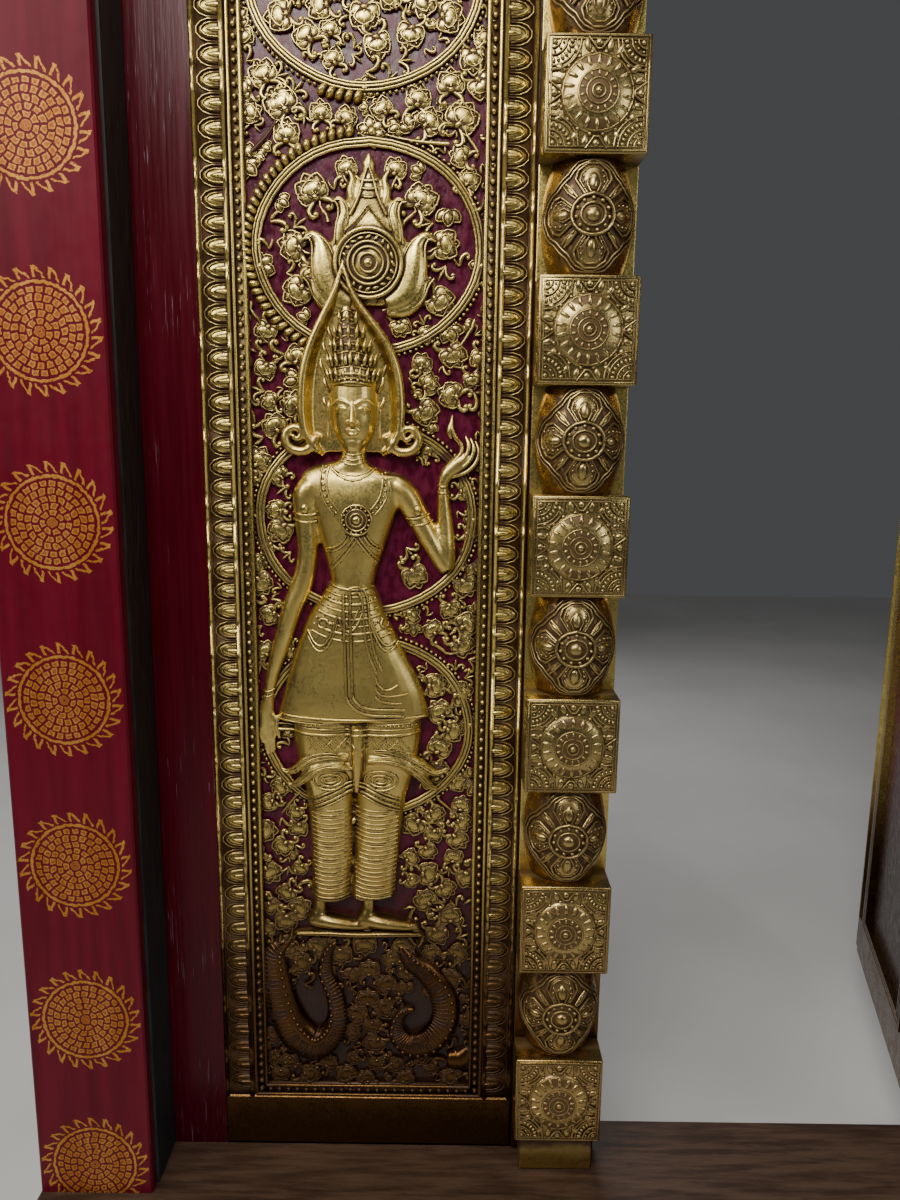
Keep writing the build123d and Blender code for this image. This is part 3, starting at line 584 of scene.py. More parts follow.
def bead_run(start, end, inwards):
    """One side of the beaded frame, from corner to corner, with its two fillets and its beads."""
    start, end, inwards = Vector(start), Vector(end), Vector(inwards)
    along = (end - start).normalized()
    strokes = []
    for offset in (0.0026, 0.0182):
        first, last = start + (along + inwards) * offset, end + (inwards - along) * offset
        count = max(4, int((last - first).length / 0.05))
        points = []
        for n in range(count + 1):
            place = first.lerp(last, n / count)
            drift = noise.noise_vector(place * 25)
            points.append((place + inwards * drift.x * 0.0005 + Vector((0, drift.y * 0.0005 - 0.0006, 0)),
                           0.0026))
        strokes.append(points)
    work = bmesh.new()
    work.from_mesh(strokes_mesh(strokes, 1, 2))
    first, last = start + (along + inwards) * bead_middle, end + (inwards - along) * bead_middle
    count = round((last - first).length / bead_pitch)
    for n in range(count + 1):
        place = first.lerp(last, n / count) + inwards * chance.uniform(-0.0004, 0.0004)
        width = chance.uniform(0.0038, 0.0046)
        set_in(work, bead, Matrix.Translation(place + Vector((0, 0.004, 0)))
               @ Matrix.Diagonal((width, 0.0075, width, 1)))
    bed_size = (abs(along.x) * (last - first).length + 0.019, 0.0055,
                abs(along.z) * (last - first).length + 0.019, 1)
    bmesh.ops.create_cube(work, size=1, matrix=Matrix.Translation(
        (first + last) / 2 + Vector((0, 0.0062, 0))) @ Matrix.Diagonal(bed_size))
    return mesh_of(work)


field_corners = [(across, 0, level) for across, level in (
    (field_left, rail_foot), (field_left, rail_top), (field_right, rail_top), (field_right, rail_foot))]
for name, start, end, inwards in (
    ("hinge_side", field_corners[0], field_corners[1], (1, 0, 0)),
    ("lower", field_corners[1], field_corners[2], (0, 0, 1)),
    ("meeting_side", field_corners[2], field_corners[3], (-1, 0, 0)),
    ("upper", field_corners[3], field_corners[0], (0, 0, -1)),
):
    leaf_piece(f"left_{name}_beads", bead_run(start, end, inwards), border_gold, "gilding",
               f"left_{name}_bead_moulding")


# Carving: everything on the field is cut from the one board and gilded. Places are in millimetres: across
# from the panel's middle, up from the threshold lip, and out of the ground.
def at(across, up, out=0.0):
    return Vector((panel_middle + across / 1000, ground - out / 1000, lip + up / 1000))


def line(*points):
    """A stroke through points of (across, up, out, half width)."""
    return [(at(*point[:3]), point[3] / 1000) for point in points]


def knob(work, across, up, out, wide, tall=None, rise=None, turn=0.0, shape=None):
    """A boss on the carving: half width, half height and rise in millimetres, turned in degrees."""
    tall, rise = tall or wide, rise or wide * 0.8
    set_in(work, shape or boss, Matrix.Translation(at(across, up, out))
           @ Matrix.Rotation(math.radians(-turn), 4, "Y")
           @ Matrix.Diagonal((wide / 1000, rise / 1000, tall / 1000, 1)))


def smooth_stations(stations, between):
    """Stations along a smooth path through the given ones."""
    found = []
    for number in range(len(stations) - 1):
        a, b, c, d = [Vector(stations[min(max(number + k, 0), len(stations) - 1)]) for k in (-1, 0, 1, 2)]
        for step in range(between):
            t = step / between
            found.append(0.5 * (2 * b + (c - a) * t + (2 * a - 5 * b + 4 * c - d) * t * t
                                + (3 * b - a - 3 * c + d) * t ** 3))
    return found + [Vector(stations[-1])]


def limb(work, *stations, around=16, between=4):
    """A rounded form through stations of (across, up, out, half width, half thickness)."""
    path = smooth_stations(stations, between)
    before = None
    for number, station in enumerate(path):
        last, following = path[max(number - 1, 0)], path[min(number + 1, len(path) - 1)]
        along = (at(*following[:3]) - at(*last[:3])).normalized()
        aside = along.cross(Vector((0, -1, 0))).normalized()
        facing_out = aside.cross(along)
        wide, thick = max(station[3], 0.2) / 1000, max(station[4], 0.2) / 1000
        matrix = Matrix.Translation(at(*station[:3])) @ Matrix(
            (aside * wide, facing_out * thick, along)).transposed().to_4x4()
        ended = number in (0, len(path) - 1)
        made = bmesh.ops.create_circle(work, cap_ends=ended, segments=around, radius=1.0, matrix=matrix)
        edges = list({edge for corner in made["verts"] for edge in corner.link_edges})
        if before:
            bmesh.ops.bridge_loops(work, edges=before + edges)
        before = edges
    return work


def melted(work, voxel, rounds):
    """Melts overlapping rounded forms into one skin, eases it, and cuts off what lies inside the board."""
    holder = bpy.data.objects.new("melt", mesh_of(work))
    bpy.context.scene.collection.objects.link(holder)
    melt = holder.modifiers.new("melt", "REMESH")
    melt.mode, melt.voxel_size = "VOXEL", voxel
    ease = holder.modifiers.new("ease", "SMOOTH")
    ease.factor, ease.iterations = 0.5, rounds
    mesh = bpy.data.meshes.new_from_object(holder.evaluated_get(bpy.context.evaluated_depsgraph_get()))
    bpy.data.objects.remove(holder)
    skin = bmesh.new()
    skin.from_mesh(mesh)
    cut_away(skin, (0, ground + 0.0005, 0), (0, 1, 0))
    return skin


# Figure: a standing heavenly attendant in a tall crown, one hand raised and the other let down, carved
# almost in the round. Trunk, skirt, arms and legs flow into one another. The face is a calm one on the
# usual proportions.
figure = bmesh.new()
limb(figure, (-16, 1108, 8, 16, 15), (-16, 1090, 8, 17, 16), (-17, 1077, 8, 24, 17), (-18, 1066, 6, 62, 19),
     (-18, 1054, 5, 74, 24), (-17, 1028, 5, 66, 28), (-17, 1000, 5, 56, 28), (-18, 960, 4, 44, 26),
     (-19, 922, 4, 33, 23), (-20, 900, 4, 32, 23), (-22, 876, 4, 42, 26), (-23, 850, 4, 56, 27), around=28)
limb(figure, (-20, 905, 2, 34, 25), (-22, 880, 2, 46, 27), (-25, 850, 2, 62, 29), (-25, 819, 2, 75, 29),
     (-24, 790, 2, 87, 29), (-22, 761, 2, 98, 29), (-20, 735, 2, 106, 30), (-19, 708, 2, 112, 30), around=32)
limb(figure, (-60, 740, 2, 44, 25), (-62, 690, 2, 46, 27), (-60, 640, 2, 41, 26), (-55, 588, 2, 34, 24),
     (-53, 540, 2, 32, 22), (-53, 500, 2, 31, 21), (-55, 455, 2, 29, 20), (-56, 431, 2, 29, 20),
     (-56, 426, 2, 27, 18), around=20)
limb(figure, (30, 740, 2, 44, 25), (33, 690, 2, 47, 27), (29, 640, 2, 43, 26), (21, 588, 2, 37, 24),
     (18, 540, 2, 34, 22), (15, 500, 2, 33, 21), (11, 455, 2, 33, 20), (9, 433, 2, 34, 20),
     (9, 428, 2, 32, 18), around=20)
limb(figure, (-62, 1050, 4, 10, 14), (-76, 1044, 4, 17, 19), (-84, 1030, 4, 19, 20), (-84, 1002, 3, 17, 18),
     (-83, 947, 2, 15, 17), (-92, 905, 2, 16, 17), (-106, 872, 3, 15, 16), (-122, 820, 3, 13, 14),
     (-136, 775, 3, 10, 12), (-143, 735, 3, 7, 9))
limb(figure, (-142, 742, 4, 8, 8), (-146, 720, 4, 11, 8), (-146, 698, 4, 11, 7), (-146, 684, 4, 9, 6))
for shift, reach in ((-9.5, 668), (-3.5, 650), (2.5, 645), (8.0, 655)):
    limb(figure, (-146 + shift, 695, 5, 3.4, 4), (-146 + shift * 1.1, 680, 6, 3.3, 3.6),
         (-144 + shift, reach, 5, 2, 2.5), around=8, between=3)
limb(figure, (-137, 712, 6, 3.5, 4), (-130, 692, 8, 3.5, 4), (-128, 675, 7, 2.2, 2.6), around=8, between=3)
limb(figure, (28, 1050, 4, 10, 14), (42, 1046, 4, 17, 19), (56, 1032, 4, 19, 20), (72, 1004, 3, 17, 18),
     (96, 962, 3, 15, 17), (110, 938, 3, 14, 16), (116, 930, 3, 12, 14))
limb(figure, (112, 930, 3, 13, 14), (113, 958, 3, 14, 15), (111, 992, 3, 12, 13), (108, 1030, 4, 9, 11),
     (107, 1058, 5, 7, 9))
limb(figure, (107, 1050, 6, 7, 9), (113, 1064, 6, 10, 10), (125, 1075, 6, 12, 9), (136, 1084, 6, 12, 8),
     (141, 1092, 6, 8, 6))
for heel in (-88, -14):
    limb(figure, (heel + 17, 445, 2, 10, 11), (heel + 16, 412, 3, 10, 12), (heel + 13, 398, 5, 12, 14),
         (heel + 12, 388, 6, 13, 14), around=14)
    limb(figure, (heel, 389, 6, 8, 12), (heel + 12, 391, 6, 13, 15), (heel + 38, 388, 8, 11, 16),
         (heel + 66, 384, 8, 8.5, 14), (heel + 92, 382, 8, 5, 11), around=14)
limb(figure, (-16, 735, 2, 20, 20), (-16, 690, 2, 22, 21), (-16, 640, 2, 20, 20), (-16, 600, 2, 12, 15),
     around=14)
wings = (
    ((-28, 652, 3.5), (-48, 657, 5.5), (-70, 655, 7), (-90, 645, 7.5), (-106, 632, 5.5), (-119, 630, 3),
     (-127, 637, 0.8)),
    ((-24, 637, 3.5), (-48, 642, 6), (-72, 636, 8), (-90, 622, 7.5), (-103, 612, 4.5), (-118, 612, 0.8)),
    ((12, 664, 3.5), (34, 663, 6), (58, 655, 8), (80, 643, 7.5), (98, 630, 5.5), (110, 630, 3),
     (119, 637, 0.8)),
    ((2, 650, 4), (30, 652, 7), (56, 645, 8.5), (78, 628, 7.5), (93, 611, 5), (107, 602, 0.8)),
)
for number, wing in enumerate(wings):
    high = 25 if number % 2 else 22
    limb(figure, *[(across, up, high - 0.0007 * (across + 16) ** 2, half, 3 + half * 0.75)
                   for across, up, half in wing], around=12)
limb(figure, (-12, 700, 24, 9, 7), (-12, 660, 24, 8, 7), (-13, 625, 23, 6, 6), (-14, 600, 22, 3, 4),
     around=12)
body_skin = melted(figure, 0.0026, 2)
body_tree = BVHTree.FromBMesh(body_skin)

head = bmesh.new()
limb(head, (-16, 1080, 9, 15, 15), (-16, 1097, 10, 14, 15), (-16, 1102, 11, 15, 17), (-16, 1110, 9, 20, 20),
     (-16, 1126, 7, 25.5, 25), (-16, 1148, 6, 28, 27), (-16, 1170, 6, 28, 26), (-16, 1192, 6, 26, 24),
     around=30)
for side in (-1, 1):
    for around, *stations in (
        (10, (9, 1134, 24, 6, 5), (16, 1136, 22, 6.5, 5)),
        (12, (5.5, 1146.5, 25, 2, 2), (12.5, 1147.5, 26.5, 4.8, 5), (19.5, 1148, 20.5, 2, 2)),
        (8, (5, 1146, 29.6, 0.9, 1), (9, 1149.6, 31.2, 1.3, 1.5), (14, 1150.6, 29.6, 1.4, 1.6),
         (21, 1147, 22.5, 0.9, 1)),
        (8, (5.5, 1144.5, 30, 0.7, 0.8), (13, 1142.5, 28.8, 0.9, 1), (20, 1145.5, 23, 0.7, 0.8)),
        (8, (3.5, 1155, 33, 1.2, 1.2), (10, 1160, 31.2, 1.5, 1.4), (17, 1160, 27.4, 1.4, 1.4),
         (24, 1154, 20, 0.8, 0.9)),
        (10, (4.2, 1127, 31, 2, 2.4), (4.2, 1130, 32, 2.9, 3), (4.2, 1133, 31, 1.6, 2)),
        (10, (28, 1160, 4, 3, 6), (30, 1150, 5, 4.5, 7), (29.5, 1134, 6, 3.2, 5), (29, 1114, 7, 3.6, 4),
         (29, 1104, 7, 2, 3)),
    ):
        limb(head, *[(-16 + side * aside, *rest) for aside, *rest in stations], around=around)
limb(head, (-16, 1157, 31, 2.4, 2.6), (-16, 1148, 32.5, 2.5, 3), (-16, 1138, 34.5, 3, 3.4),
     (-16, 1131, 36, 3.9, 3.8), (-16, 1127.5, 33.5, 3.2, 3), around=12)
limb(head, (-26.5, 1119.5, 26.5, 0.8, 1), (-21, 1120.8, 30, 1.8, 2), (-18, 1121.6, 31.6, 2.1, 2.2),
     (-16, 1120.9, 32, 1.9, 2.2), (-14, 1121.6, 31.6, 2.1, 2.2), (-11, 1120.8, 30, 1.8, 2),
     (-5.5, 1119.5, 26.5, 0.8, 1), around=10)
limb(head, (-25, 1118.6, 26.5, 0.8, 1), (-20, 1116.8, 29.6, 1.9, 2), (-16, 1116, 31, 2.4, 2.4),
     (-12, 1116.8, 29.6, 1.9, 2), (-7, 1118.6, 26.5, 0.8, 1), around=10)
limb(head, (-20, 1106, 21, 4.5, 5), (-16, 1106, 22.5, 5.2, 6), (-12, 1106, 21, 4.5, 5), around=12)
for corner in head.verts:
    middle = panel_middle - 0.016
    corner.co.x = middle + (corner.co.x - middle) * (1.17 if corner.co.z > lip + 1.1 else 1.05)
head_skin = melted(head, 0.0011, 2)


def draped(points, half, lift=0.0, tree=None):
    """A stroke laid on the figure: each (across, up) is moved straight back until it meets the skin."""
    stroke = []
    for across, up in points:
        place = at(across, up)
        hit = (tree or body_tree).ray_cast(Vector((place.x, -0.2, place.z)), Vector((0, 1, 0)))[0]
        if hit is not None and hit.y < ground:
            stroke.append((Vector((hit.x, hit.y - lift / 1000, hit.z)), half / 1000))
    return [stroke] if len(stroke) > 2 else []


def arc(start, middle, end, count=9):
    """Points of a smooth arc from a start through a middle to an end."""
    found = []
    for n in range(count):
        t = n / (count - 1)
        bend = [2 * m - (s + e) / 2 for s, m, e in zip(start, middle, end)]
        found.append(tuple((1 - t) ** 2 * s + 2 * t * (1 - t) * b + t * t * e
                           for s, b, e in zip(start, bend, end)))
    return found


def beads_on(work, points, width, tree=None):
    """A row of small beads laid on the figure."""
    for across, up in points:
        for place, _ in sum(draped([(across, up)] * 3, width, 0, tree), [])[:1]:
            set_in(work, bead, Matrix.Translation(place)
                   @ Matrix.Diagonal((width / 1000, width / 1000, width / 1000, 1)))


def band(points, apart, half, lift=0.4, studs=0.0):
    """Two lines beside one another along a path on the figure, with a row of beads between them."""
    found = []
    for shift in (-apart / 2, apart / 2):
        moved = []
        for number, (across, up) in enumerate(points):
            before, after = points[max(number - 1, 0)], points[min(number + 1, len(points) - 1)]
            run, rise = after[0] - before[0], after[1] - before[1]
            length = math.hypot(run, rise) or 1
            moved.append((across - rise / length * shift, up + run / length * shift))
        found += draped(moved, half, lift)
    if studs:
        beads_on(jewels, points, studs)
    return found


jewels = bmesh.new()
strokes = []
for level in (1083, 1077, 1090):
    strokes += draped(arc((-34, level + 3), (-16, level - 2), (2, level + 3)), 1.4, 0.2)
for dip, half, width in ((1054, 1.6, 30), (1060, 1.2, 26)):
    strokes += draped(arc((-16 - width, 1070), (-16, dip), (-16 + width, 1070), 15), half, 0.4)
strap = ((40, 1072), (42, 1064), (43, 1056), (43, 1048), (42, 1040), (40, 1032), (36, 1024), (31, 1017),
         (25, 1010))
for side in (-1, 1):
    strokes += band([(-14 + side * aside, up) for aside, up in strap], 9, 1.5, 0.4, 2.2)
    strokes += band(arc((-11 + side * 10, 982), (-11 + side * 26, 962), (-11 + side * 50, 956), 9), 4.6, 1.6)
    strokes += band(arc((-11 + side * 2, 980), (-11 - side * 20, 950), (-11 - side * 44, 926), 10), 4.6, 1.6)
for row in range(8):
    level, half = 906 - row * 9.5, 1.7 if row % 2 else 2.3
    width = 36 + row * 3.4
    strokes += draped(arc((-16 - width, level + 3), (-16, level - 4 - row), (-16 + width, level + 3), 15),
                      half, 0.4)
beads_on(jewels, arc((-50, 891), (-16, 882), (18, 891), 15), 2.2)
beads_on(jewels, arc((-58, 862), (-16, 848), (28, 862), 19), 2.0)
for level, half in ((716, 2.2), (708, 1.4), (700, 1.4), (692, 2.4)):
    strokes += draped([(-129 + 221 * t / 30, level - 3 * math.sin(math.pi * t / 30)) for t in range(31)],
                      half, 0.2)
beads_on(jewels, [(-126 + 216 * t / 36, 703.5) for t in range(37)], 2.0)
for side in (-1, 1):
    for dip in (0, 8):
        strokes += draped(arc((-16 + side * 22, 866 - dip), (-16 + side * 44, 822 - dip),
                              (-16 + side * 66, 842 - dip), 11), 2.0, 0.6)
    strokes += draped([(-16 + side * 44 + 10 * math.cos(k * 0.7) * (1 - k / 14),
                        852 + 10 * math.sin(k * 0.7) * (1 - k / 14)) for k in range(11)], 2.0, 0.8)
long_fold = [(-26 + 0.3 * t, 896 - 12.6 * t) for t in range(13)]
long_fold += [(-14, 734), (-2, 727), (16, 724), (36, 724), (56, 722)]
strokes += band(long_fold, 9, 2.3, 1.2)
short_fold = [(-20, 900), (-10, 904), (-2, 896), (0, 880), (2, 852), (6, 824), (12, 800), (20, 784)]
strokes += band(short_fold, 8, 2.0, 1.0)
for lowered, far in ((0, 46), (9, 60), (18, 52)):
    swag = arc((14, 778 - lowered * 1.6), (26, 758 - lowered), (far, 764 - lowered * 1.5), 9)
    strokes += draped(swag, 1.9, 1.0)
strokes += band(arc((-6, 872), (-22, 846), (-34, 868), 9), 7, 1.8, 0.8)
for across, up, slope, wide in (
    (-84, 1008, -2, 17), (-84, 998, -2, 17), (75, 1006, 9, 17), (80, 997, 9, 17), (-141, 752, 4, 10),
    (-143, 744, 4, 10), (108, 1040, 0, 10), (108, 1049, 0, 10),
):
    strokes += draped(arc((across - wide, up - slope / 2), (across, up - 3), (across + wide, up + slope / 2)),
                      1.9, 0.4)
for finger in (
    ((116, 1059, 8), (138, 1066, 9), (152, 1079, 9), (156, 1095, 8), (151, 1109, 6)),
    ((120, 1067, 10), (135, 1074, 11), (146, 1086, 10), (149, 1100, 9), (144, 1113, 6)),
    ((122, 1074, 10), (132, 1081, 11), (140, 1092, 10), (142, 1104, 9), (137, 1116, 6)),
    ((112, 1070, 9), (124, 1083, 10), (132, 1093, 10), (131, 1104, 9), (124, 1113, 8), (119, 1124, 7),
     (118, 1142, 4)),
):
    limb(jewels, *[(*place, 3.1, 3.6) for place in finger[:-1]], (*finger[-1], 1.2, 1.6), around=8)
limb(jewels, (118, 1112, 7, 2, 3), (116, 1122, 7, 5, 4), (118, 1134, 6, 3, 3), (119, 1144, 4, 0.8, 1),
     around=8)
knob(jewels, -84, 1014, 20, 6, 8, 5)
knob(jewels, 73, 1013, 20, 6, 8, 5)
for leg, lean in ((-53, -1), (15, 1)):
    for rib in range(20):
        level = 441 + rib * 7.0
        half = 28 + (level - 430) * 0.045
        strokes += draped(arc((leg - half - 2, level + 1), (leg - 2, level - 2.5),
                              (leg + half - 2, level + 1)), 1.7, -0.2)
    for shift, half in ((-6, 1.8), (0, 2.4), (8, 2.4), (14, 1.8)):
        knee_line = [(leg - 33 + 7.4 * t, 590 + shift - lean * 3.4 * (t - 5)) for t in range(10)]
        strokes += draped(knee_line, half, 0.5)
    for level in (434, 429):
        strokes += draped(arc((leg - 31, level), (leg - 2, level - 2), (leg + 28, level)), 1.8, 0.4)
    for fold in range(7):
        start = leg + lean * 4 - 34 + fold * 9.5
        strokes += draped([(start + 3.2 * t, 690 - 3.4 * t) for t in range(8)], 1.1, 0)
        if fold % 2:
            strokes += draped([(start + 22 - 3.2 * t, 690 - 3.4 * t) for t in range(8)], 1.1, 0)
    for wide, tall in ((25, 15), (17, 9), (9, 4)):
        strokes += draped([(leg + 4 + lean * 3 + wide * math.cos(k * math.pi / 9),
                            620 + tall * math.sin(k * math.pi / 9)) for k in range(19)], 1.7, 0.4)
for wing in wings:
    for edge in (-0.72, 0, 0.72):
        strokes += draped([(across, up + edge * half) for across, up, half in smooth_stations(wing, 3)[:-2]],
                          1.3, 0.1)
for shift in (-9, 9):
    strokes += draped([(-12 + shift, 704 - 9 * t) for t in range(9)], 1.6, 0.4)
jewels.from_mesh(strokes_mesh(strokes, 1, 2))
turns = [2 * math.pi * k / 20 for k in range(21)]
for radius, half in ((21, 1.8), (15, 1.4), (9, 1.4)):
    circle = [(-11 + radius * math.cos(a), 1000 + radius * math.sin(a), 34.5 - radius * 0.05, half)
              for a in turns]
    jewels.from_mesh(strokes_mesh([line(*circle)], 1, 1))
knob(jewels, -11, 1000, 31, 19, 19, 3.4)
knob(jewels, -11, 1000, 33, 6.5, 6.5, 4)
for k in range(16):
    knob(jewels, -11 + 18 * math.cos(k * math.pi / 8), 1000 + 18 * math.sin(k * math.pi / 8), 33, 1.9, 1.9, 3,
         shape=bead)
for heel in (-88, -14):
    for toe in range(4):
        knob(jewels, heel + 88 - toe * 1.5, 377.5 + toe * 3.2, 14, 8, 1.5, 5, shape=bead)

# Crown: tiers of gilded leaves that narrow to a spire, with beaded bands between them and side leaves that
# rise along the halo. It is carved in one with the head.
crown = bmesh.new()
limb(crown, (-16, 1180, 7, 29, 27), (-16, 1190, 7, 31, 28), (-17, 1198, 6, 30, 27), (-18, 1206, 5, 27, 25),
     (-20, 1222, 4, 25, 23), (-22, 1243, 3, 20, 20), (-24, 1266, 2, 14, 16), (-26, 1288, 1, 8, 12),
     (-28, 1318, 1, 3, 9), around=24)
crown_tree = BVHTree.FromBMesh(crown)
strokes = []
for level, wide, half in ((1182, 30, 1.7), (1187, 30, 1.2), (1193, 30, 2.0), (1202, 28, 1.5), (1212, 26, 1.7),
                          (1222, 24, 1.5), (1232, 21, 1.5), (1243, 18, 1.4), (1254, 15.5, 1.3),
                          (1265, 12.5, 1.2), (1277, 9.5, 1.1), (1288, 7, 1.1)):
    middle = -16 - (level - 1182) * 0.085
    strokes += draped(arc((middle - wide, level - 3), (middle, level + 2.5), (middle + wide, level - 3), 13),
                      half, 0.6, crown_tree)
crown.from_mesh(strokes_mesh(strokes, 1, 2))
leaves = []
for count, level, wide, size in ((11, 1187, 29, 2.4), (11, 1206, 27, 2.6), (9, 1225, 23, 2.4),
                                 (7, 1243, 18, 2.2), (5, 1262, 13, 2.0)):
    middle = -16 - (level - 1182) * 0.085
    for k in range(count - 2):
        share = (k + 1) / (count - 1) - 0.5
        aside = wide * 1.12 * math.sin(math.pi * share)
        root = 8 + 24 * math.cos(math.pi * share) * wide / 28
        leaves.append(line((middle + aside, level + 1, root, 2.2),
                           (middle + aside * 1.06, level + 6, root + 2, 3.2),
                           (middle + aside * 1.14, level + 12, root + 1, 2.2),
                           (middle + aside * 1.18, level + 17, root - 1, 0.3)))
    beads_on(crown, [(middle + wide * math.sin(math.pi * (k / (count - 1) - 0.5)) * 0.95, level)
                     for k in range(count)], size, crown_tree)
for across, level, tall, wide in ((-16, 1194, 17, 4.5), (-31, 1192, 13, 3.6), (-1, 1192, 13, 3.6),
                                  (-41, 1188, 12, 3), (9, 1188, 12, 3), (-24, 1210, 12, 3),
                                  (-10, 1210, 12, 3), (-18, 1212, 14, 3.4)):
    out = 33 if abs(across + 16) < 10 else 27 if abs(across + 16) < 20 else 16
    leaves.append(line((across, level - 3, out, wide * 0.7), (across, level + tall * 0.3, out, wide),
                       (across, level + tall * 0.7, out - 1, wide * 0.6),
                       (across, level + tall, out - 3, 0.3)))
for side in (-1, 1):
    for aside, low, tall in ((37, 1178, 20), (42, 1200, 22), (38, 1224, 20), (31, 1246, 18), (38, 1154, 16)):
        leaves.append(line((-16 + side * (aside - 4), low - 6, 9, 2.2), (-16 + side * aside, low, 10, 3.4),
                           (-16 + side * (aside + 4), low + tall * 0.6, 9, 2.4),
                           (-16 + side * (aside + 2), low + tall, 7, 0.4)))
crown.from_mesh(strokes_mesh(leaves, 1, 2))

# Halo: a flame-shaped shell behind the head, cut hollow and gilded, with a thick rolled rim that ends in a
# volute at each shoulder.
halo_right = ((30, 1092), (44, 1106), (49, 1135), (48, 1170), (44, 1200), (32, 1233), (12, 1262), (-12, 1291),
              (-24, 1320), (-29, 1342))
halo_left = ((-64, 1092), (-79, 1106), (-86, 1135), (-86, 1170), (-83, 1200), (-73, 1235), (-57, 1268),
             (-41, 1298), (-33, 1322), (-29, 1342))
shell = bmesh.new()
plate = [at(*place, 9.5) for place in halo_right] + [at(*place, 9.5) for place in reversed(halo_left[:-1])]
face = shell.faces.new([shell.verts.new(place) for place in plate])
grown = bmesh.ops.extrude_face_region(shell, geom=[face])
bmesh.ops.translate(shell, verts=[item for item in grown["geom"] if isinstance(item, bmesh.types.BMVert)],
                    vec=(0, 0.011, 0))
strokes = []
for side in (halo_right, halo_left):
    taper = [4.2, 5.4, 6.4, 6.8, 6.8, 6.2, 5.4, 4.6, 3.2, 1.0]
    for inset, out, share, last in ((0.0, 19, 1.0, 10), (0.06, 13, 0.95, 9), (0.13, 7, 0.9, 8)):
        lowered = 6 * inset / 0.1
        strokes.append(line(*[(across + (-20 - across) * inset, up - lowered * 0.6, out, half * share)
                              for (across, up), half in zip(side, taper)][:last]))
volute = ((47, 1114, 17, 6.0), (52, 1101, 17, 6.6), (66, 1091, 17, 7.2), (84, 1094, 17, 7.2),
          (93, 1108, 17, 6.8), (88, 1122, 17, 6.2), (76, 1126, 17, 5.4), (68, 1118, 18, 4.8),
          (71, 1109, 19, 4.2), (79, 1109, 20, 3.6), (81, 1115, 21, 3.0))
for side in (-1, 1):
    strokes.append(line(*[(-18 + side * aside, *rest) for aside, *rest in volute]))
shell.from_mesh(strokes_mesh(strokes, 2, 2))
halo = melted(shell, 0.0017, 3)

# Rings: four large oval stems, one above another, cut as a triple band and gilded. Small beads follow the
# outside, and on the second ring's upper left they swell into a rope.
ring_levels = (1690, 1360, 1000, 694)
emblem_ring = 1360
ring_wide, ring_tall = 149.5, 132.5


def around_ring(level, degrees, beyond=0.0, out=6.0):
    """A place on a ring, at degrees clockwise from the top, and beyond is how far outside it lies."""
    angle, shift = math.radians(degrees), 4.0 if level == emblem_ring else 0.0
    return shift + (ring_wide + beyond) * math.sin(angle), level + (ring_tall + beyond) * math.cos(angle), out


rings = bmesh.new()
for level in ring_levels:
    for beyond, out, half in ((4.2, 4.5, 2.4), (0, 5.5, 2.6), (-4.2, 4.5, 2.4)):
        rings.from_mesh(strokes_mesh([line(*[
            (*around_ring(level, degrees, beyond + 0.6 * math.sin(degrees * 0.11 + level), out), half)
            for degrees in range(0, 361, 8)])], 1, 1))
    roped = (212, 352) if level == emblem_ring else (180, 200)
    degrees = 0.0
    while degrees < 360:
        in_rope = roped[0] < degrees < roped[1]
        across, up, _ = around_ring(level, degrees, 12.5 if in_rope else 9.2)
        if abs(across) < 163:
            if in_rope:
                knob(rings, across, up, 4, 8.8, 5.6, 9, turn=62 - degrees)
            else:
                knob(rings, across, up, 2, 3, 2.6, 5, turn=-degrees, shape=bead)
        degrees += 4.2 if in_rope else 3.0

# Emblem in the second ring: a bell-shaped body that ends in a spire, flanked by leaves that roll outwards,
# with a large ringed disc in front. It is carved and gilded with the rest.
emblem = bmesh.new()
limb(emblem, (5, 1286, 2, 22, 6), (5, 1305, 2, 46, 9), (5, 1335, 2, 56, 10), (5, 1366, 2, 52, 10),
     (4, 1388, 2, 43, 10), (4, 1404, 2, 36, 9), (4, 1420, 2, 28, 9), (5, 1436, 2, 20, 9), (5, 1450, 2, 13, 8),
     (5, 1458, 2, 8, 7), (5, 1466, 2, 9, 7), (5, 1478, 2, 2, 5), around=24)
leaves = (
    ((24, 1288, 14), (46, 1300, 20), (57, 1322, 21), (61, 1346, 18), (65, 1366, 11), (77, 1376, 6),
     (86, 1369, 3)),
    ((24, 1278, 7), (50, 1282, 10), (68, 1298, 9), (75, 1316, 6), (85, 1322, 3)),
    ((40, 1366, 7), (36, 1388, 10), (32, 1404, 8), (38, 1420, 5), (47, 1418, 3)),
    ((20, 1410, 5), (24, 1430, 6), (21, 1446, 4), (27, 1456, 2)),
)
for side in (-1, 1):
    for leaf in leaves:
        limb(emblem, *[(5 + side * aside, up, 4, half, 5 + half * 0.35) for aside, up, half in leaf],
             around=14)
emblem = melted(emblem, 0.0019, 2)
strokes = []
for radius, out, half in ((44, 17, 2.8), (38, 16.5, 1.4), (27, 19, 1.8), (20, 19.5, 1.6), (12, 20, 1.6)):
    strokes.append(line(*[(5 + radius * math.cos(k * math.pi / 16),
                           1339 + radius * math.sin(k * math.pi / 16), out, half) for k in range(33)]))
knob(emblem, 5, 1339, 10, 44, 44, 7.5)
knob(emblem, 5, 1339, 13, 28, 28, 6)
knob(emblem, 5, 1339, 16, 8, 8, 6)
for k in range(20):
    turn = k * 18
    across, up = 5 + 32.5 * math.sin(math.radians(turn)), 1339 + 32.5 * math.cos(math.radians(turn))
    knob(emblem, across, up, 15, 6.2, 2.7, 4.5, turn=turn + 35, shape=bead)
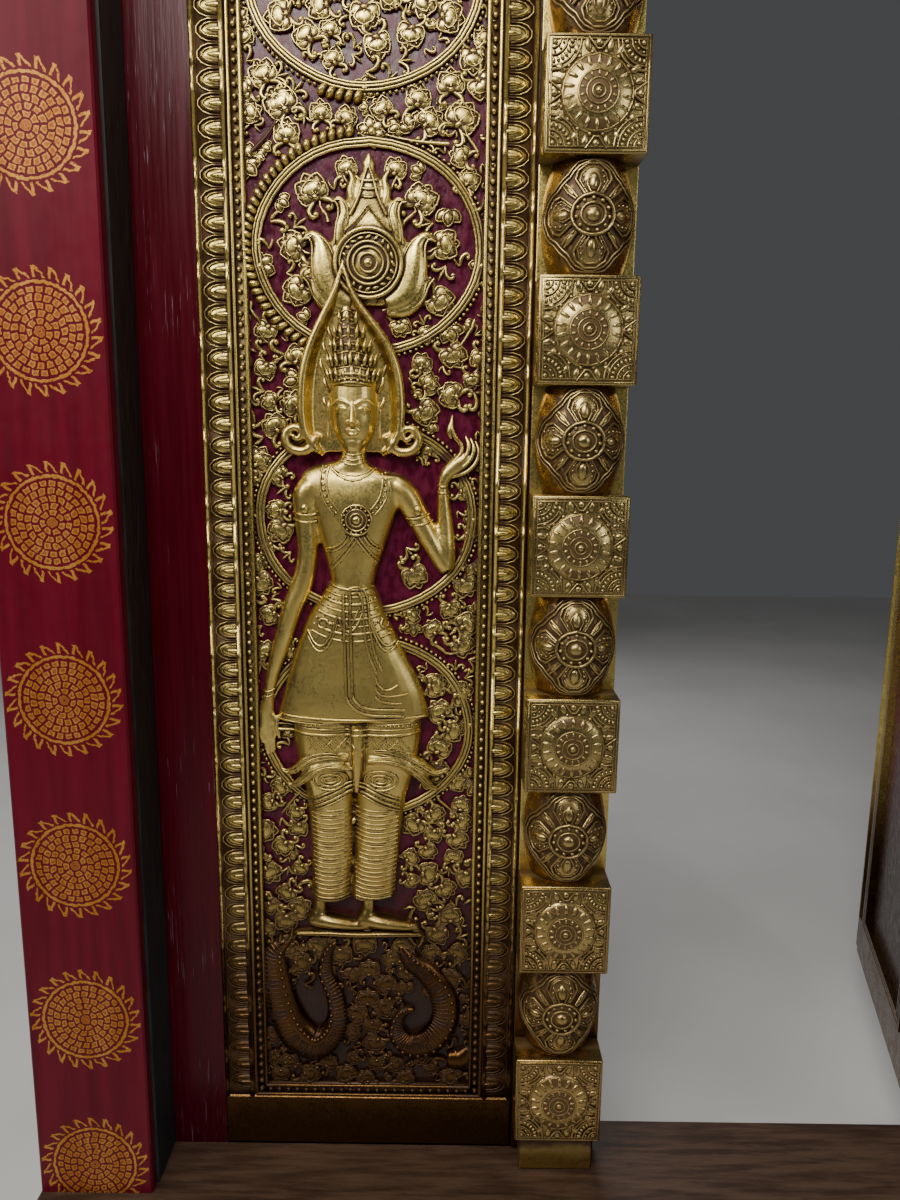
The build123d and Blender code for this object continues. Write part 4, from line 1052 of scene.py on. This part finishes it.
for side in (-1, 1):
    strokes += [
        *[line(*[(5 + side * (aside + edge * half * 0.8), up - edge * half * 0.25, 9.5 + half * 0.1, 1.5)
                 for aside, up, half in leaf]) for leaf in leaves[:3] for edge in (-1, 1)],
        line((5 + side * 30, 1380, 16, 2), (5 + side * 14, 1392, 17, 1.8), (5, 1412, 17, 1.6)),
        line((5 + side * 24, 1400, 13, 2), (5 + side * 12, 1420, 13, 2), (5 + side * 7, 1446, 12, 1.6),
             (5, 1462, 12, 1.2)),
    ]
for level in (1424, 1434, 1444):
    strokes.append(line((-7, level, 11, 1.4), (5, level - 4, 14, 1.6), (17, level, 11, 1.4)))
emblem.from_mesh(strokes_mesh(strokes, 1, 2))

# Foliage: curls, pointed leaves and lotus blossoms fill the ground between the rings, the figure and the
# border. The larger blossoms follow the photograph where it shows them, and small curls fill the rest.
beds = [(bmesh.new(), []) for _ in range(3)]
chance = random.Random(5)
taken = []


def bed(up):
    """The piece of the foliage that a height belongs to, and its strokes."""
    return beds[0 if up < 720 else 1 if up < 1260 else 2]


def curl(across, up, heading, length, width, hand=1, out=3.5):
    """A comma-shaped tendril that swells, then rolls up at its end round a bead."""
    work, lines = bed(up)
    angle, points, steps = math.radians(heading), [], 10
    for number in range(steps + 1):
        share = number / steps
        swell = 0.35 + 0.75 * math.sin(math.pi * min(1, 0.08 + share * 0.9)) ** 0.8
        points.append((across, up, out + 2.5 * share, width * swell))
        angle += hand * math.radians(270) * 1.9 * share ** 1.1 / steps
        stride = length * (1.4 - 0.9 * share) / steps
        across, up = across + math.cos(angle) * stride, up + math.sin(angle) * stride
    lines.append(line(*points))
    knob(work, points[-1][0], points[-1][1], out, width * 1.15, width * 1.15, 6.0, shape=bead)


def blade(across, up, heading, length, width, bend=0.0, out=3.0):
    """A pointed leaf with a raised rib."""
    angle, body, rib = math.radians(heading - bend / 2), [], []
    for number in range(6):
        share = number / 5
        half = width * math.sin(math.pi * (0.14 + 0.82 * share)) ** 0.7 if share < 1 else 0.3
        body.append((across, up, out + 1.5 * math.sin(math.pi * share), half))
        if 0 < number < 5:
            rib.append((across, up, out + 1 + half * 0.98, width * 0.24 + 0.3))
        angle += math.radians(bend) / 5
        across, up = across + math.cos(angle) * length / 5, up + math.sin(angle) * length / 5
    bed(up)[1].extend((line(*body), line(*rib)))


petal_work = bmesh.new()
rounded = ((0.0, 0.04), (0.22, 0.14), (0.38, 0.4), (0.38, 0.68), (0.2, 0.9), (0.0, 1.02))
petal_work.from_mesh(strokes_mesh([
    [(Vector((across, -0.12, along)), 0.06) for across, along in rounded]
    + [(Vector((-across, -0.12, along)), 0.06) for across, along in reversed(rounded)],
    [(Vector((0, -0.2, 0.2)), 0.06), (Vector((0, -0.27, 0.5)), 0.06), (Vector((0, -0.18, 0.85)), 0.03)],
], 0, 1))
set_in(petal_work, boss, Matrix.Translation((0, 0.02, 0.5)) @ Matrix.Diagonal((0.36, 0.26, 0.46, 1)))
lotus = mesh_of(petal_work)


def set_petal(work, across, up, out, length, width, turn):
    """One rounded petal with a raised outline, standing from a foot at a turn clockwise from upright."""
    set_in(work, lotus, Matrix.Translation(at(across, up, out)) @ Matrix.Rotation(math.radians(turn), 4, "Y")
           @ Matrix.Diagonal((width / 600, length / 1300, length / 1000, 1)))


def blossom(across, up, heading, size):
    """A lotus seen from the side: rounded petals round a calyx, with a curl on each side of its stalk."""
    work, out = bed(up)[0], 1.5
    ahead = math.cos(math.radians(heading)), math.sin(math.radians(heading))
    foot = (across - ahead[0] * size * 0.55, up - ahead[1] * size * 0.55)
    for lean, length, width, lift in ((0, 1.5, 0.8, 0), (-32, 1.36, 0.9, 1.0), (32, 1.36, 0.9, 1.0),
                                      (-64, 1.02, 0.86, 2.2), (64, 1.02, 0.86, 2.2), (0, 0.98, 1.06, 3.8)):
        set_petal(work, *foot, out + lift, size * length * chance.uniform(0.94, 1.06), size * width,
                  90 - heading + lean)
    knob(work, *foot, out, size * 0.3, size * 0.2, 9, turn=90 - heading)
    for side in (-1, 1):
        curl(foot[0] - ahead[0] * size * 0.1, foot[1] - ahead[1] * size * 0.1, heading + 180 - side * 70,
             size * 1.7, size * 0.2, hand=side, out=out + 1)
    taken.append((across, up, size * 1.0))


def daisy(across, up, radius):
    """An open flower seen from the front, with a ringed centre."""
    work, spin, out = bed(up)[0], chance.uniform(0, 60), 1.5
    for number in range(6):
        set_petal(work, across, up, out, radius * 1.05, radius * 0.66, spin + 360 * number / 6)
    knob(work, across, up, out, radius * 0.32, radius * 0.32, 9)
    knob(work, across, up, out + 5, radius * 0.15, radius * 0.15, 4, shape=bead)
    taken.append((across, up, radius * 1.05))


def stem(*points):
    """A waving stalk through points of (across, up)."""
    width = 3.2
    bed(points[0][1])[1].append(line(*[
        (across + 3.2 * math.sin(n * 2.1 + across), up, 6.0, width * (1 - 0.3 * n / len(points)))
        for n, (across, up, _) in enumerate(smooth_stations([(*point, 0) for point in points], 3))]))
    taken.extend((*point, width * 2) for point in points)


for across, up, heading, size in (
    (-71, 1433, 118, 21), (76, 1424, 55, 21), (-98, 1362, 165, 20), (108, 1366, 5, 19), (-94, 1303, 215, 20),
    (102, 1292, -30, 19), (48, 1258, -70, 14), (-25, 1461, 105, 15), (41, 1461, 72, 15),
    (-111, 1539, 130, 22), (-57, 1528, 95, 15), (129, 1524, 55, 22), (70, 1546, 80, 17),
    (-154, 1478, 120, 12), (138, 1448, 60, 15), (-136, 1250, 240, 16), (120, 1222, -55, 18),
    (146, 1190, -80, 13), (-138, 1200, 250, 15), (-132, 1160, 160, 13), (88, 1186, 35, 15),
    (84, 1250, 20, 12), (-124, 1060, 150, 14), (-128, 1010, 175, 15), (-142, 960, 200, 13),
    (86, 1096, 110, 12), (140, 1040, 0, 14), (148, 980, -10, 13), (142, 905, -60, 17), (120, 870, -80, 15),
    (140, 818, -40, 17), (64, 862, 30, 14), (-140, 860, 200, 15), (-112, 806, 215, 13), (138, 748, 20, 19),
    (128, 690, -10, 17), (-118, 690, 190, 14), (-130, 600, 215, 15), (-108, 560, 240, 13),
    (102, 560, -40, 15), (136, 610, -20, 14), (-128, 505, 235, 16), (92, 500, -60, 14), (136, 520, -50, 16),
    (-124, 430, 220, 15), (120, 440, -35, 16), (68, 452, -20, 12), (-102, 470, 240, 12), (-70, 1700, 120, 22),
    (70, 1700, 60, 22), (0, 1740, 90, 24), (-110, 1640, 190, 19), (110, 1640, -10, 19), (0, 1640, -90, 20),
    (-130, 1850, 120, 22), (130, 1850, 60, 22), (-50, 1880, 100, 20), (50, 1880, 80, 20), (0, 1930, 90, 20),
    (-60, 1780, 110, 17), (60, 1780, 70, 17), (-130, 1930, 130, 18), (130, 1930, 50, 18), (0, 255, 90, 18),
    (8, 205, -80, 15), (2, 305, 90, 17), (140, 335, 40, 16), (-148, 150, 200, 13), (100, 132, -60, 12),
    (14, 140, -90, 14), (-24, 150, 200, 12),
):
    blossom(across, up, heading, size)
for across, up, radius in ((-141, 1335, 20), (156, 1339, 17), (9, 1504, 19), (-156, 1690, 15),
                           (156, 1690, 15), (150, 1000, 13), (-156, 1002, 12), (150, 700, 15),
                           (-154, 694, 12), (0, 1828, 17), (0, 1556, 15), (60, 300, 15), (96, 268, 13),
                           (-60, 300, 12)):
    daisy(across, up, radius)
for points in (
    ((-46, 1392), (-56, 1404), (-62, 1418)), ((50, 1388), (60, 1400), (68, 1412)),
    ((-62, 1352), (-76, 1352), (-88, 1358)), ((70, 1356), (84, 1356), (98, 1362)),
    ((-52, 1300), (-68, 1300), (-84, 1304)), ((62, 1300), (78, 1290), (92, 1290)),
    ((-18, 1420), (-24, 1436), (-26, 1450)), ((28, 1420), (36, 1436), (40, 1450)),
    ((110, 1490), (70, 1492), (26, 1500)), ((-150, 1478), (-126, 1500), (-114, 1524)),
    ((150, 1480), (136, 1498), (130, 1512)), ((-156, 1290), (-148, 1270), (-140, 1256)),
    ((150, 1270), (136, 1246), (124, 1232)), ((132, 960), (140, 935), (144, 915)),
    ((100, 820), (118, 806), (134, 812)), ((-96, 596), (-112, 580), (-126, 560)),
    ((96, 596), (112, 580), (128, 560)),
):
    stem(*points)

# Lower bodies: the ledge that the figure stands on, and a pair of heavy ribbed coils under the figure's feet,
# painted dark brown as shade since little light reaches so low.
creatures = bmesh.new()
coils = (
    ((-124, 350, 2, 8, 8), (-142, 330, 2, 17, 12), (-140, 285, 2, 22, 15), (-130, 235, 2, 26, 17),
     (-112, 195, 2, 30, 18), (-84, 176, 2, 28, 18), (-60, 190, 2, 22, 17), (-48, 220, 2, 17, 15),
     (-52, 262, 2, 14, 13), (-66, 300, 2, 12, 12), (-60, 335, 2, 7, 9), (-48, 350, 2, 3, 5)),
    ((50, 345, 2, 5, 6), (66, 320, 2, 14, 12), (92, 300, 2, 19, 14), (116, 265, 2, 22, 15),
     (120, 220, 2, 22, 16), (96, 182, 2, 23, 17), (64, 176, 2, 20, 16), (44, 200, 2, 14, 13),
     (52, 230, 2, 9, 11), (72, 238, 2, 4, 7)),
)
for coil in coils:
    limb(creatures, *coil, around=18, between=5)
limb(creatures, (124, 150, 2, 14, 10), (146, 152, 2, 18, 13), (160, 172, 2, 8, 8), around=16)
coil_tree, strokes = BVHTree.FromBMesh(creatures), []
for coil in coils:
    path = smooth_stations(coil, 7)
    for number in range(4, len(path) - 4):
        here, before, after = path[number], path[number - 1], path[number + 1]
        run, rise = after[0] - before[0], after[1] - before[1]
        length = math.hypot(run, rise)
        strokes += draped([(here[0] - rise / length * here[3] * t, here[1] + run / length * here[3] * t)
                           for t in (-0.85, -0.6, -0.3, 0.0, 0.2)], 1.7, 0.2, coil_tree)
        if number % 2:
            beads_on(creatures, [(here[0] - rise / length * here[3] * 0.5,
                                  here[1] + run / length * here[3] * 0.5)], 3.4, coil_tree)
creatures.from_mesh(strokes_mesh(strokes, 0, 1))
limb(jewels, (-112, 366, 3, 4, 9), (-60, 367, 3, 6, 12), (-15, 366, 3, 6, 13), (40, 367, 3, 6, 12),
     (84, 366, 3, 4, 9), around=12)
for across, up, heading, length, bend in ((-128, 345, 60, 34, 60), (-132, 340, 95, 26, -40),
                                          (74, 348, 120, 30, -60), (78, 345, 70, 26, 50)):
    blade(across, up, heading, length, 4.5, bend, out=10)
taken += [(-93, 230, 50), (96, 230, 50), (-142, 300, 26), (-130, 240, 30), (-105, 190, 34), (-60, 190, 28),
          (-48, 235, 20), (-64, 300, 16), (88, 300, 24), (118, 250, 28), (100, 190, 28), (60, 180, 24),
          (50, 215, 16), (146, 155, 20)]


def on_figure(across, up, margin):
    """Whether a place is on or close to the figure, the halo or the emblem, told by boxes and bars."""
    for middle, low, high, half in (
        (-17, 1085, 1200, 72), (-20, 1200, 1290, 56), (5, 1285, 1400, 66), (5, 1400, 1480, 24),
        (-17, 1040, 1085, 92), (-16, 905, 1050, 72), (-18, 830, 905, 66), (-20, 770, 830, 92),
        (-20, 690, 770, 112), (-18, 590, 690, 98), (-18, 373, 590, 74), (-12, 360, 390, 100),
    ):
        if low - margin < up < high + margin and abs(across - middle) < half + margin:
            return True
    for start, end, half in (
        ((-84, 1050), (-84, 940), 20), ((-84, 940), (-142, 740), 17), ((-143, 740), (-146, 650), 15),
        ((60, 1040), (112, 935), 20), ((112, 935), (108, 1055), 18), ((108, 1060), (135, 1140), 24),
    ):
        run, rise = end[0] - start[0], end[1] - start[1]
        along = (across - start[0]) * run + (up - start[1]) * rise
        share = max(0, min(1, along / (run * run + rise * rise)))
        if math.hypot(across - start[0] - share * run, up - start[1] - share * rise) < half + margin:
            return True
    return False


def on_ring(across, up, margin):
    """Whether a place lies on or close to a ring or its beads."""
    for level in ring_levels:
        reach = (math.hypot(across / ring_wide, (up - level) / ring_tall) - 1) * (ring_wide + ring_tall) / 2
        roped = level == emblem_ring and across < 0 and up > 1250
        if -13 - margin < reach < (24 if roped else 13) + margin:
            return True
    return False


for room in (20, 16, 13, 10, 7.5):
    for _ in range(2600):
        across, up = chance.uniform(-166, 166), chance.uniform(116, 1968)
        reach = room * 0.95
        in_emblem_ring = math.hypot(across / ring_wide, (up - emblem_ring) / ring_tall) < 1
        if in_emblem_ring and not 8 < room < 14:
            continue
        in_the_way = on_figure(across, up, reach * 0.45) or on_ring(across, up, reach * 0.35)
        if in_the_way or abs(across) > 172 - reach:
            continue
        gap = 1.15 if in_emblem_ring else 0.92
        if any(math.hypot(across - a, up - b) < reach * gap + r * 0.8 for a, b, r in taken):
            continue
        taken.append((across, up, reach))
        heading, hand = chance.uniform(0, 360), chance.choice((-1, 1))
        back = math.radians(heading + 180)
        foot = across + math.cos(back) * reach * 0.85, up + math.sin(back) * reach * 0.85
        kind = chance.random()
        if room > 14:
            blossom(across, up, heading, reach * 0.95)
            taken.pop()
        elif kind < 0.45 and room > 8:
            for side in (-1, 1):
                curl(*foot, heading + side * 28, reach * 2.2, reach * 0.22, side)
            blade(*foot, heading, reach * 1.7, reach * 0.22)
        elif kind < 0.85:
            curl(*foot, heading, reach * 2.8, reach * 0.3, hand)
            blade(*foot, heading - hand * 50, reach * 1.5, reach * 0.24, hand * 60)
        else:
            for lean in (-48, 48, 0):
                set_petal(bed(up)[0], *foot, 1.5 + (2 if lean == 0 else 0), reach * 1.75, reach * 0.95,
                          90 - heading + lean)
for work, lines in beds:
    work.from_mesh(strokes_mesh(lines, 0, 1))
    for corner in work.verts:
        risen = (ground - corner.co.y) * 1000
        if risen > 0:
            corner.co.y = ground - 0.0125 * (1 - math.exp(-risen / 10))

carving = gilded("carved_gilding")
smooth_gold = gilded("figure_gilding", (0.78, 0.6, 0.19), closed=0.5, soft=0.06)
# The halo's hollow inside shows an orange-brown size colour, a painted warm reflection with painted shade.
halo_reflection_gold = gilded("halo_gilding", (0.7, 0.52, 0.16), size=(0.27, 0.12, 0.03), closed=0.6, soft=0.04)
# The lower creatures' gilding is painted dark brown as shade, since little light reaches so low.
low_shade_gold = gilded("low_shade_gilding", (0.15, 0.075, 0.03), size=(0.035, 0.013, 0.007), closed=0.3)
own = {"figure": smooth_gold, "figure_head": smooth_gold, "halo": halo_reflection_gold, "lower_creatures": low_shade_gold}
for name, work in (("figure", body_skin), ("figure_head", head_skin), ("figure_jewels", jewels),
                   ("figure_crown", crown), ("halo", halo), ("rings", rings), ("emblem", emblem),
                   ("lower_foliage", beds[0][0]), ("middle_foliage", beds[1][0]),
                   ("upper_foliage", beds[2][0]), ("lower_creatures", creatures)):
    leaf_piece(f"left_{name}", mesh_of(work), own.get(name, carving), "carved_gilding")


# Astragal: a post of square blocks and bulging barrels on the meeting edge. A block's face holds a domed
# rosette with a fan in each corner. A barrel is wrapped in a flower of four broad and four narrow petals.
block_front, post_front, barrel_waist, barrel_end = -0.060, -0.006, 0.061, 0.047
block_tall, barrel_tall, first_foot, pitch = 0.137, 0.143, 0.2125, 0.280
post_half, post_foot, post_head, flower_sweep = 0.065, 0.153, 2.227, 0.058


def polar(radius, degrees):
    """Across and up, for a radius and degrees clockwise from the top."""
    return radius * math.sin(math.radians(degrees)), radius * math.cos(math.radians(degrees))


def flat(*points):
    """A stroke on a flat face: (across, up, out, half width) in millimetres about the face's middle."""
    return [(Vector((across / 1000, -out / 1000, up / 1000)), half / 1000)
            for across, up, out, half in points]


def loop(middle, radius, out, half, start=0, sweep=360, count=16):
    """A ring or an arc of one on a flat face."""
    places = [polar(radius, start + sweep * k / count) for k in range(count + 1)]
    return flat(*[(middle[0] + across, middle[1] + up, out, half) for across, up in places])


def stud(work, across, up, out, wide, tall=None, rise=None, turn=0.0, shape=None):
    """A bead or a boss on a flat face."""
    tall, rise = tall or wide, rise or wide
    set_in(work, shape or bead, Matrix.Translation((across / 1000, -out / 1000, up / 1000))
           @ Matrix.Rotation(math.radians(turn), 4, "Y")
           @ Matrix.Diagonal((wide / 1000, rise / 1000, tall / 1000, 1)))


def block_face():
    """The carving of one block's front: a double border, a domed rosette, side knots and corner fans."""
    work, lines = bmesh.new(), []
    for side, end in ((61.5, 65), (57.5, 61)):
        border = ((-side, -end), (-side, 0), (-side, end), (-side, end), (0, end), (side, end), (side, end),
                  (side, 0), (side, -end), (side, -end), (0, -end), (-side, -end))
        lines.append(flat(*[(*place, 0.6, 1.5) for place in border]))
    stud(work, 0, 0, -1, 48, 48, 12, shape=dome_shape(20, 5))
    for radius, out, half in ((44, 3.6, 1.6), (25, 9.2, 1.6), (15, 10.4, 1.6), (8, 11.0, 1.6)):
        lines.append(loop((0, 0), radius, out, half, count=22))
    for count, radius, out, wide in ((18, 34.5, 6.6, 3.6), (14, 20, 9.2, 2.4)):
        for k in range(count):
            turn = 360 * k / count
            stud(work, *polar(radius, turn), out - 1, wide, wide * (1 + wide * 0.42), 3.6, turn)
            if wide > 3:
                stud(work, *polar(47, turn + 10), 1, 3, 3, 2.6)
    stud(work, 0, 0, 10, 5.2, 5.2, 4.6, shape=boss)
    for turn in range(0, 360, 15):
        across, up = 53 * math.sin(math.radians(turn)), 56 * math.cos(math.radians(turn))
        if 18 < turn % 90 < 72 and turn % 90 != 45 or turn % 90 in (15, 75):
            stud(work, across, up, 0.4, 4.6, 8, 2.8, turn, boss)
    for side in (-1, 1):
        lines.append(flat((side * 60, 13, 1.6, 1.5), (side * 47, 5, 3, 1.7), (side * 43, 0, 3, 1.7),
                          (side * 47, -5, 3, 1.7), (side * 60, -13, 1.6, 1.5)))
        stud(work, side * 53, 0, 1, 5, 5, 3.4, shape=boss)
        lines.append(flat((13, side * 63, 1.6, 1.5), (6, side * 52, 3, 1.7), (0, side * 47, 3, 1.7),
                          (-6, side * 52, 3, 1.7), (-13, side * 63, 1.6, 1.5)))
        stud(work, 0, side * 57, 1, 5, 5, 3.4, shape=boss)
        for end in (-1, 1):
            start = {(1, 1): 180, (1, -1): 270, (-1, -1): 0, (-1, 1): 90}[(side, end)]
            corner = (side * 58, end * 61)
            for radius, half in ((36, 1.9), (31, 1.3), (19, 1.4), (11, 1.3)):
                lines.append(loop(corner, radius, 1.6, half, start, 90, 9))
            for k in range(7):
                turn = start + 90 * (k + 0.5) / 7
                across, up = polar(25, turn)
                stud(work, corner[0] + across, corner[1] + up, 0.6, 2.5, 3.6, 2.8, turn)
            for k in range(3):
                across, up = polar(15, start + 90 * (k + 0.5) / 3)
                stud(work, corner[0] + across, corner[1] + up, 0.6, 1.9, 1.9, 2.2)
            stud(work, side * 54, end * 57, 0.6, 3.4, 3.4, 2.6)
    work.from_mesh(strokes_mesh(lines, 0, 1))
    return mesh_of(work)


def petal_outline(length, half, root, out, width, turn):
    """The arched outline of a broad petal, from the disc to its tip and back."""
    shape = ((half * 0.42, root), (half * 0.85, root + 0.3 * (length - root)),
             (half, root + 0.58 * (length - root)), (half * 0.62, root + 0.84 * (length - root)), (0, length))
    path = list(shape) + [(-a, z) for a, z in reversed(shape[:-1])]
    c, s = math.cos(math.radians(turn)), math.sin(math.radians(turn))
    return flat(*[(a * c + z * s, -a * s + z * c, out, width) for a, z in path])


def barrel_face():
    """The flower round one barrel, drawn flat: a ringed disc, broad and narrow petals and a wavy edge."""
    work, lines = bmesh.new(), []
    for radius, out, half in ((25, 4.4, 2.5), (14, 4.6, 1.7)):
        lines.append(loop((0, 0), radius, out, half, count=20))
    stud(work, 0, 0, 0, 24, 24, 3.6, shape=dome_shape(18, 3))
    stud(work, 0, 0, 3, 9.5, 9.5, 5.5, shape=boss)
    for k in range(11):
        stud(work, *polar(19.5, 360 * k / 11), 2.8, 2.9, 2.9, 3.2)
    for quarter in range(4):
        turn, length = 90 * quarter, (66, 60)[quarter % 2]
        c, s = math.cos(math.radians(turn)), math.sin(math.radians(turn))
        lines.append(petal_outline(length, 25, 25, 2.2, 2.2, turn))
        lines.append(petal_outline(length - 6, 19, 26, 2.4, 1.3, turn))
        lines.append(petal_outline(length - 17, 9, 27, 3.4, 1.3, turn))
        stud(work, 45 * s, 45 * c, 0, 20, 19, 3.2, turn, dome_shape(14, 3))
        stud(work, 40 * s, 40 * c, 2, 6.5, 12, 4.2, turn, boss)
        for side in (-1, 1):
            for k in range(4):
                a, z = side * (13.5 - 1.2 * abs(k - 1.4)), 32 + 7 * k
                stud(work, a * c + z * s, -a * s + z * c, 2, 1.9, 1.9, 2.6)
        turn += 45
        c, s = math.cos(math.radians(turn)), math.sin(math.radians(turn))
        for a in (-3.6, 3.6):
            lines.append(flat(*[(a * k / 3 * c + z * s, -a * k / 3 * s + z * c, 3, 1.9)
                                for k, z in ((1, 28), (2.2, 37), (3, 45), (1.6, 51))]))
        stud(work, 40 * s, 40 * c, 1, 3.4, 10, 3.6, turn, boss)
    for beyond, half in ((0, 2.0), (5.5, 1.6)):
        points = []
        for k in range(49):
            turn = 2 * math.pi * k / 48
            reach = 61 + beyond + 6.5 * math.cos(4 * turn) + 2.0 * math.cos(16 * turn)
            points.append((reach * math.sin(turn), min(67.5, max(-67.5, reach * math.cos(turn))), 1.2, half))
        lines.append(flat(*points))
    work.from_mesh(strokes_mesh(lines, 0, 1))
    return mesh_of(work)


def girth(height):
    """A barrel's radius at a height from its waist."""
    return barrel_waist - (barrel_waist - barrel_end) * (2 * height / barrel_tall) ** 2


block_carving, barrel_carving = block_face(), barrel_face()
for corner in barrel_carving.vertices:
    around, reach = corner.co.x / flower_sweep, girth(corner.co.z) - corner.co.y
    corner.co = (reach * math.sin(around), -reach * math.cos(around), corner.co.z)
spill = bmesh.new()
spill.from_mesh(barrel_carving)
cut_away(spill, (0, post_front, 0), (0, 1, 0))
barrel_carving = mesh_of(spill)

last_foot = first_foot + 7 * pitch
post = timber((-post_half, post_front, post_foot), (post_half, 0.006, post_head), 0.001)
timber((-post_half, 0.005, post_foot), (-0.0015, ground, post_head), 0, post)
for foot, top in ((post_foot, first_foot), (last_foot, post_head)):
    timber((-0.055, -0.048, foot), (0.055, post_front + 0.001, top), 0.002, post)
leaf_piece("left_astragal_post", mesh_of(post), border_gold, "gilding", "left_astragal", smooth=False)
amber_gold = gilded("astragal_amber", (0.4, 0.25, 0.09), closed=0.3)
post_gold = gilded("astragal_gilding", (0.48, 0.37, 0.145), size=(0.11, 0.06, 0.02), closed=0.34)
blocks, barrels = bmesh.new(), bmesh.new()
for number in range(7):
    foot = first_foot + number * pitch
    middle = foot + block_tall / 2
    timber((-post_half, block_front, foot), (post_half, post_front + 0.001, foot + block_tall), 0.0022,
           blocks)
    set_in(blocks, block_carving, Matrix.Translation((0, block_front, middle)))
    middle = foot + block_tall + barrel_tall / 2
    before = None
    for step in range(13):
        level = -barrel_tall / 2 + barrel_tall * step / 12
        made = bmesh.ops.create_circle(barrels, cap_ends=step in (0, 12), segments=40, radius=girth(level),
                                       matrix=Matrix.Translation((0, 0, middle + level)))
        edges = list({edge for corner in made["verts"] for edge in corner.link_edges})
        if before:
            bmesh.ops.bridge_loops(barrels, edges=before + edges)
        before = edges
cut_away(barrels, (0, post_front + 0.0005, 0), (0, 1, 0))
leaf_piece("left_astragal_barrels", mesh_of(barrels), amber_gold, "gilding")
flowers = bmesh.new()
for number in range(7):
    middle = first_foot + number * pitch + block_tall + barrel_tall / 2
    set_in(flowers, barrel_carving, Matrix.Translation((0, 0, middle)))
leaf_piece("left_astragal_blocks", mesh_of(blocks), post_gold, "gilding")
leaf_piece("left_astragal_flowers", mesh_of(flowers), post_gold, "gilding")


# Painted shade in the hollows: how closed in each point of the carving is, kept with its mesh for the gilding
# to paint as shade.
def paint_hollow_shade(pieces, reach=0.014):
    corners, faces = [], []
    for piece in pieces:
        start = len(corners)
        corners += [corner.co[:] for corner in piece.data.vertices]
        faces += [[start + number for number in face.vertices] for face in piece.data.polygons]
    tree = BVHTree.FromPolygons(corners, faces)
    for piece in pieces:
        closed = []
        for corner in piece.data.vertices:
            normal = corner.normal
            aside = normal.orthogonal().normalized()
            upright = normal.cross(aside)
            start = corner.co + normal * 0.0005
            blocked = 0.0
            for direction in (normal * 2 + aside, normal * 2 - aside, normal + upright * 1.4,
                              normal - upright * 1.4, normal * 0.6 + aside, normal * 0.6 - aside):
                distance = tree.ray_cast(start, direction, reach)[3]
                if distance is not None:
                    blocked += 1 - distance / reach
            closed.append(blocked / 6)
        piece.data.attributes.new("hollow", "FLOAT", "POINT").data.foreach_set("value", closed)


paint_hollow_shade([piece for piece in bpy.data.objects if piece.name in carved_pieces])
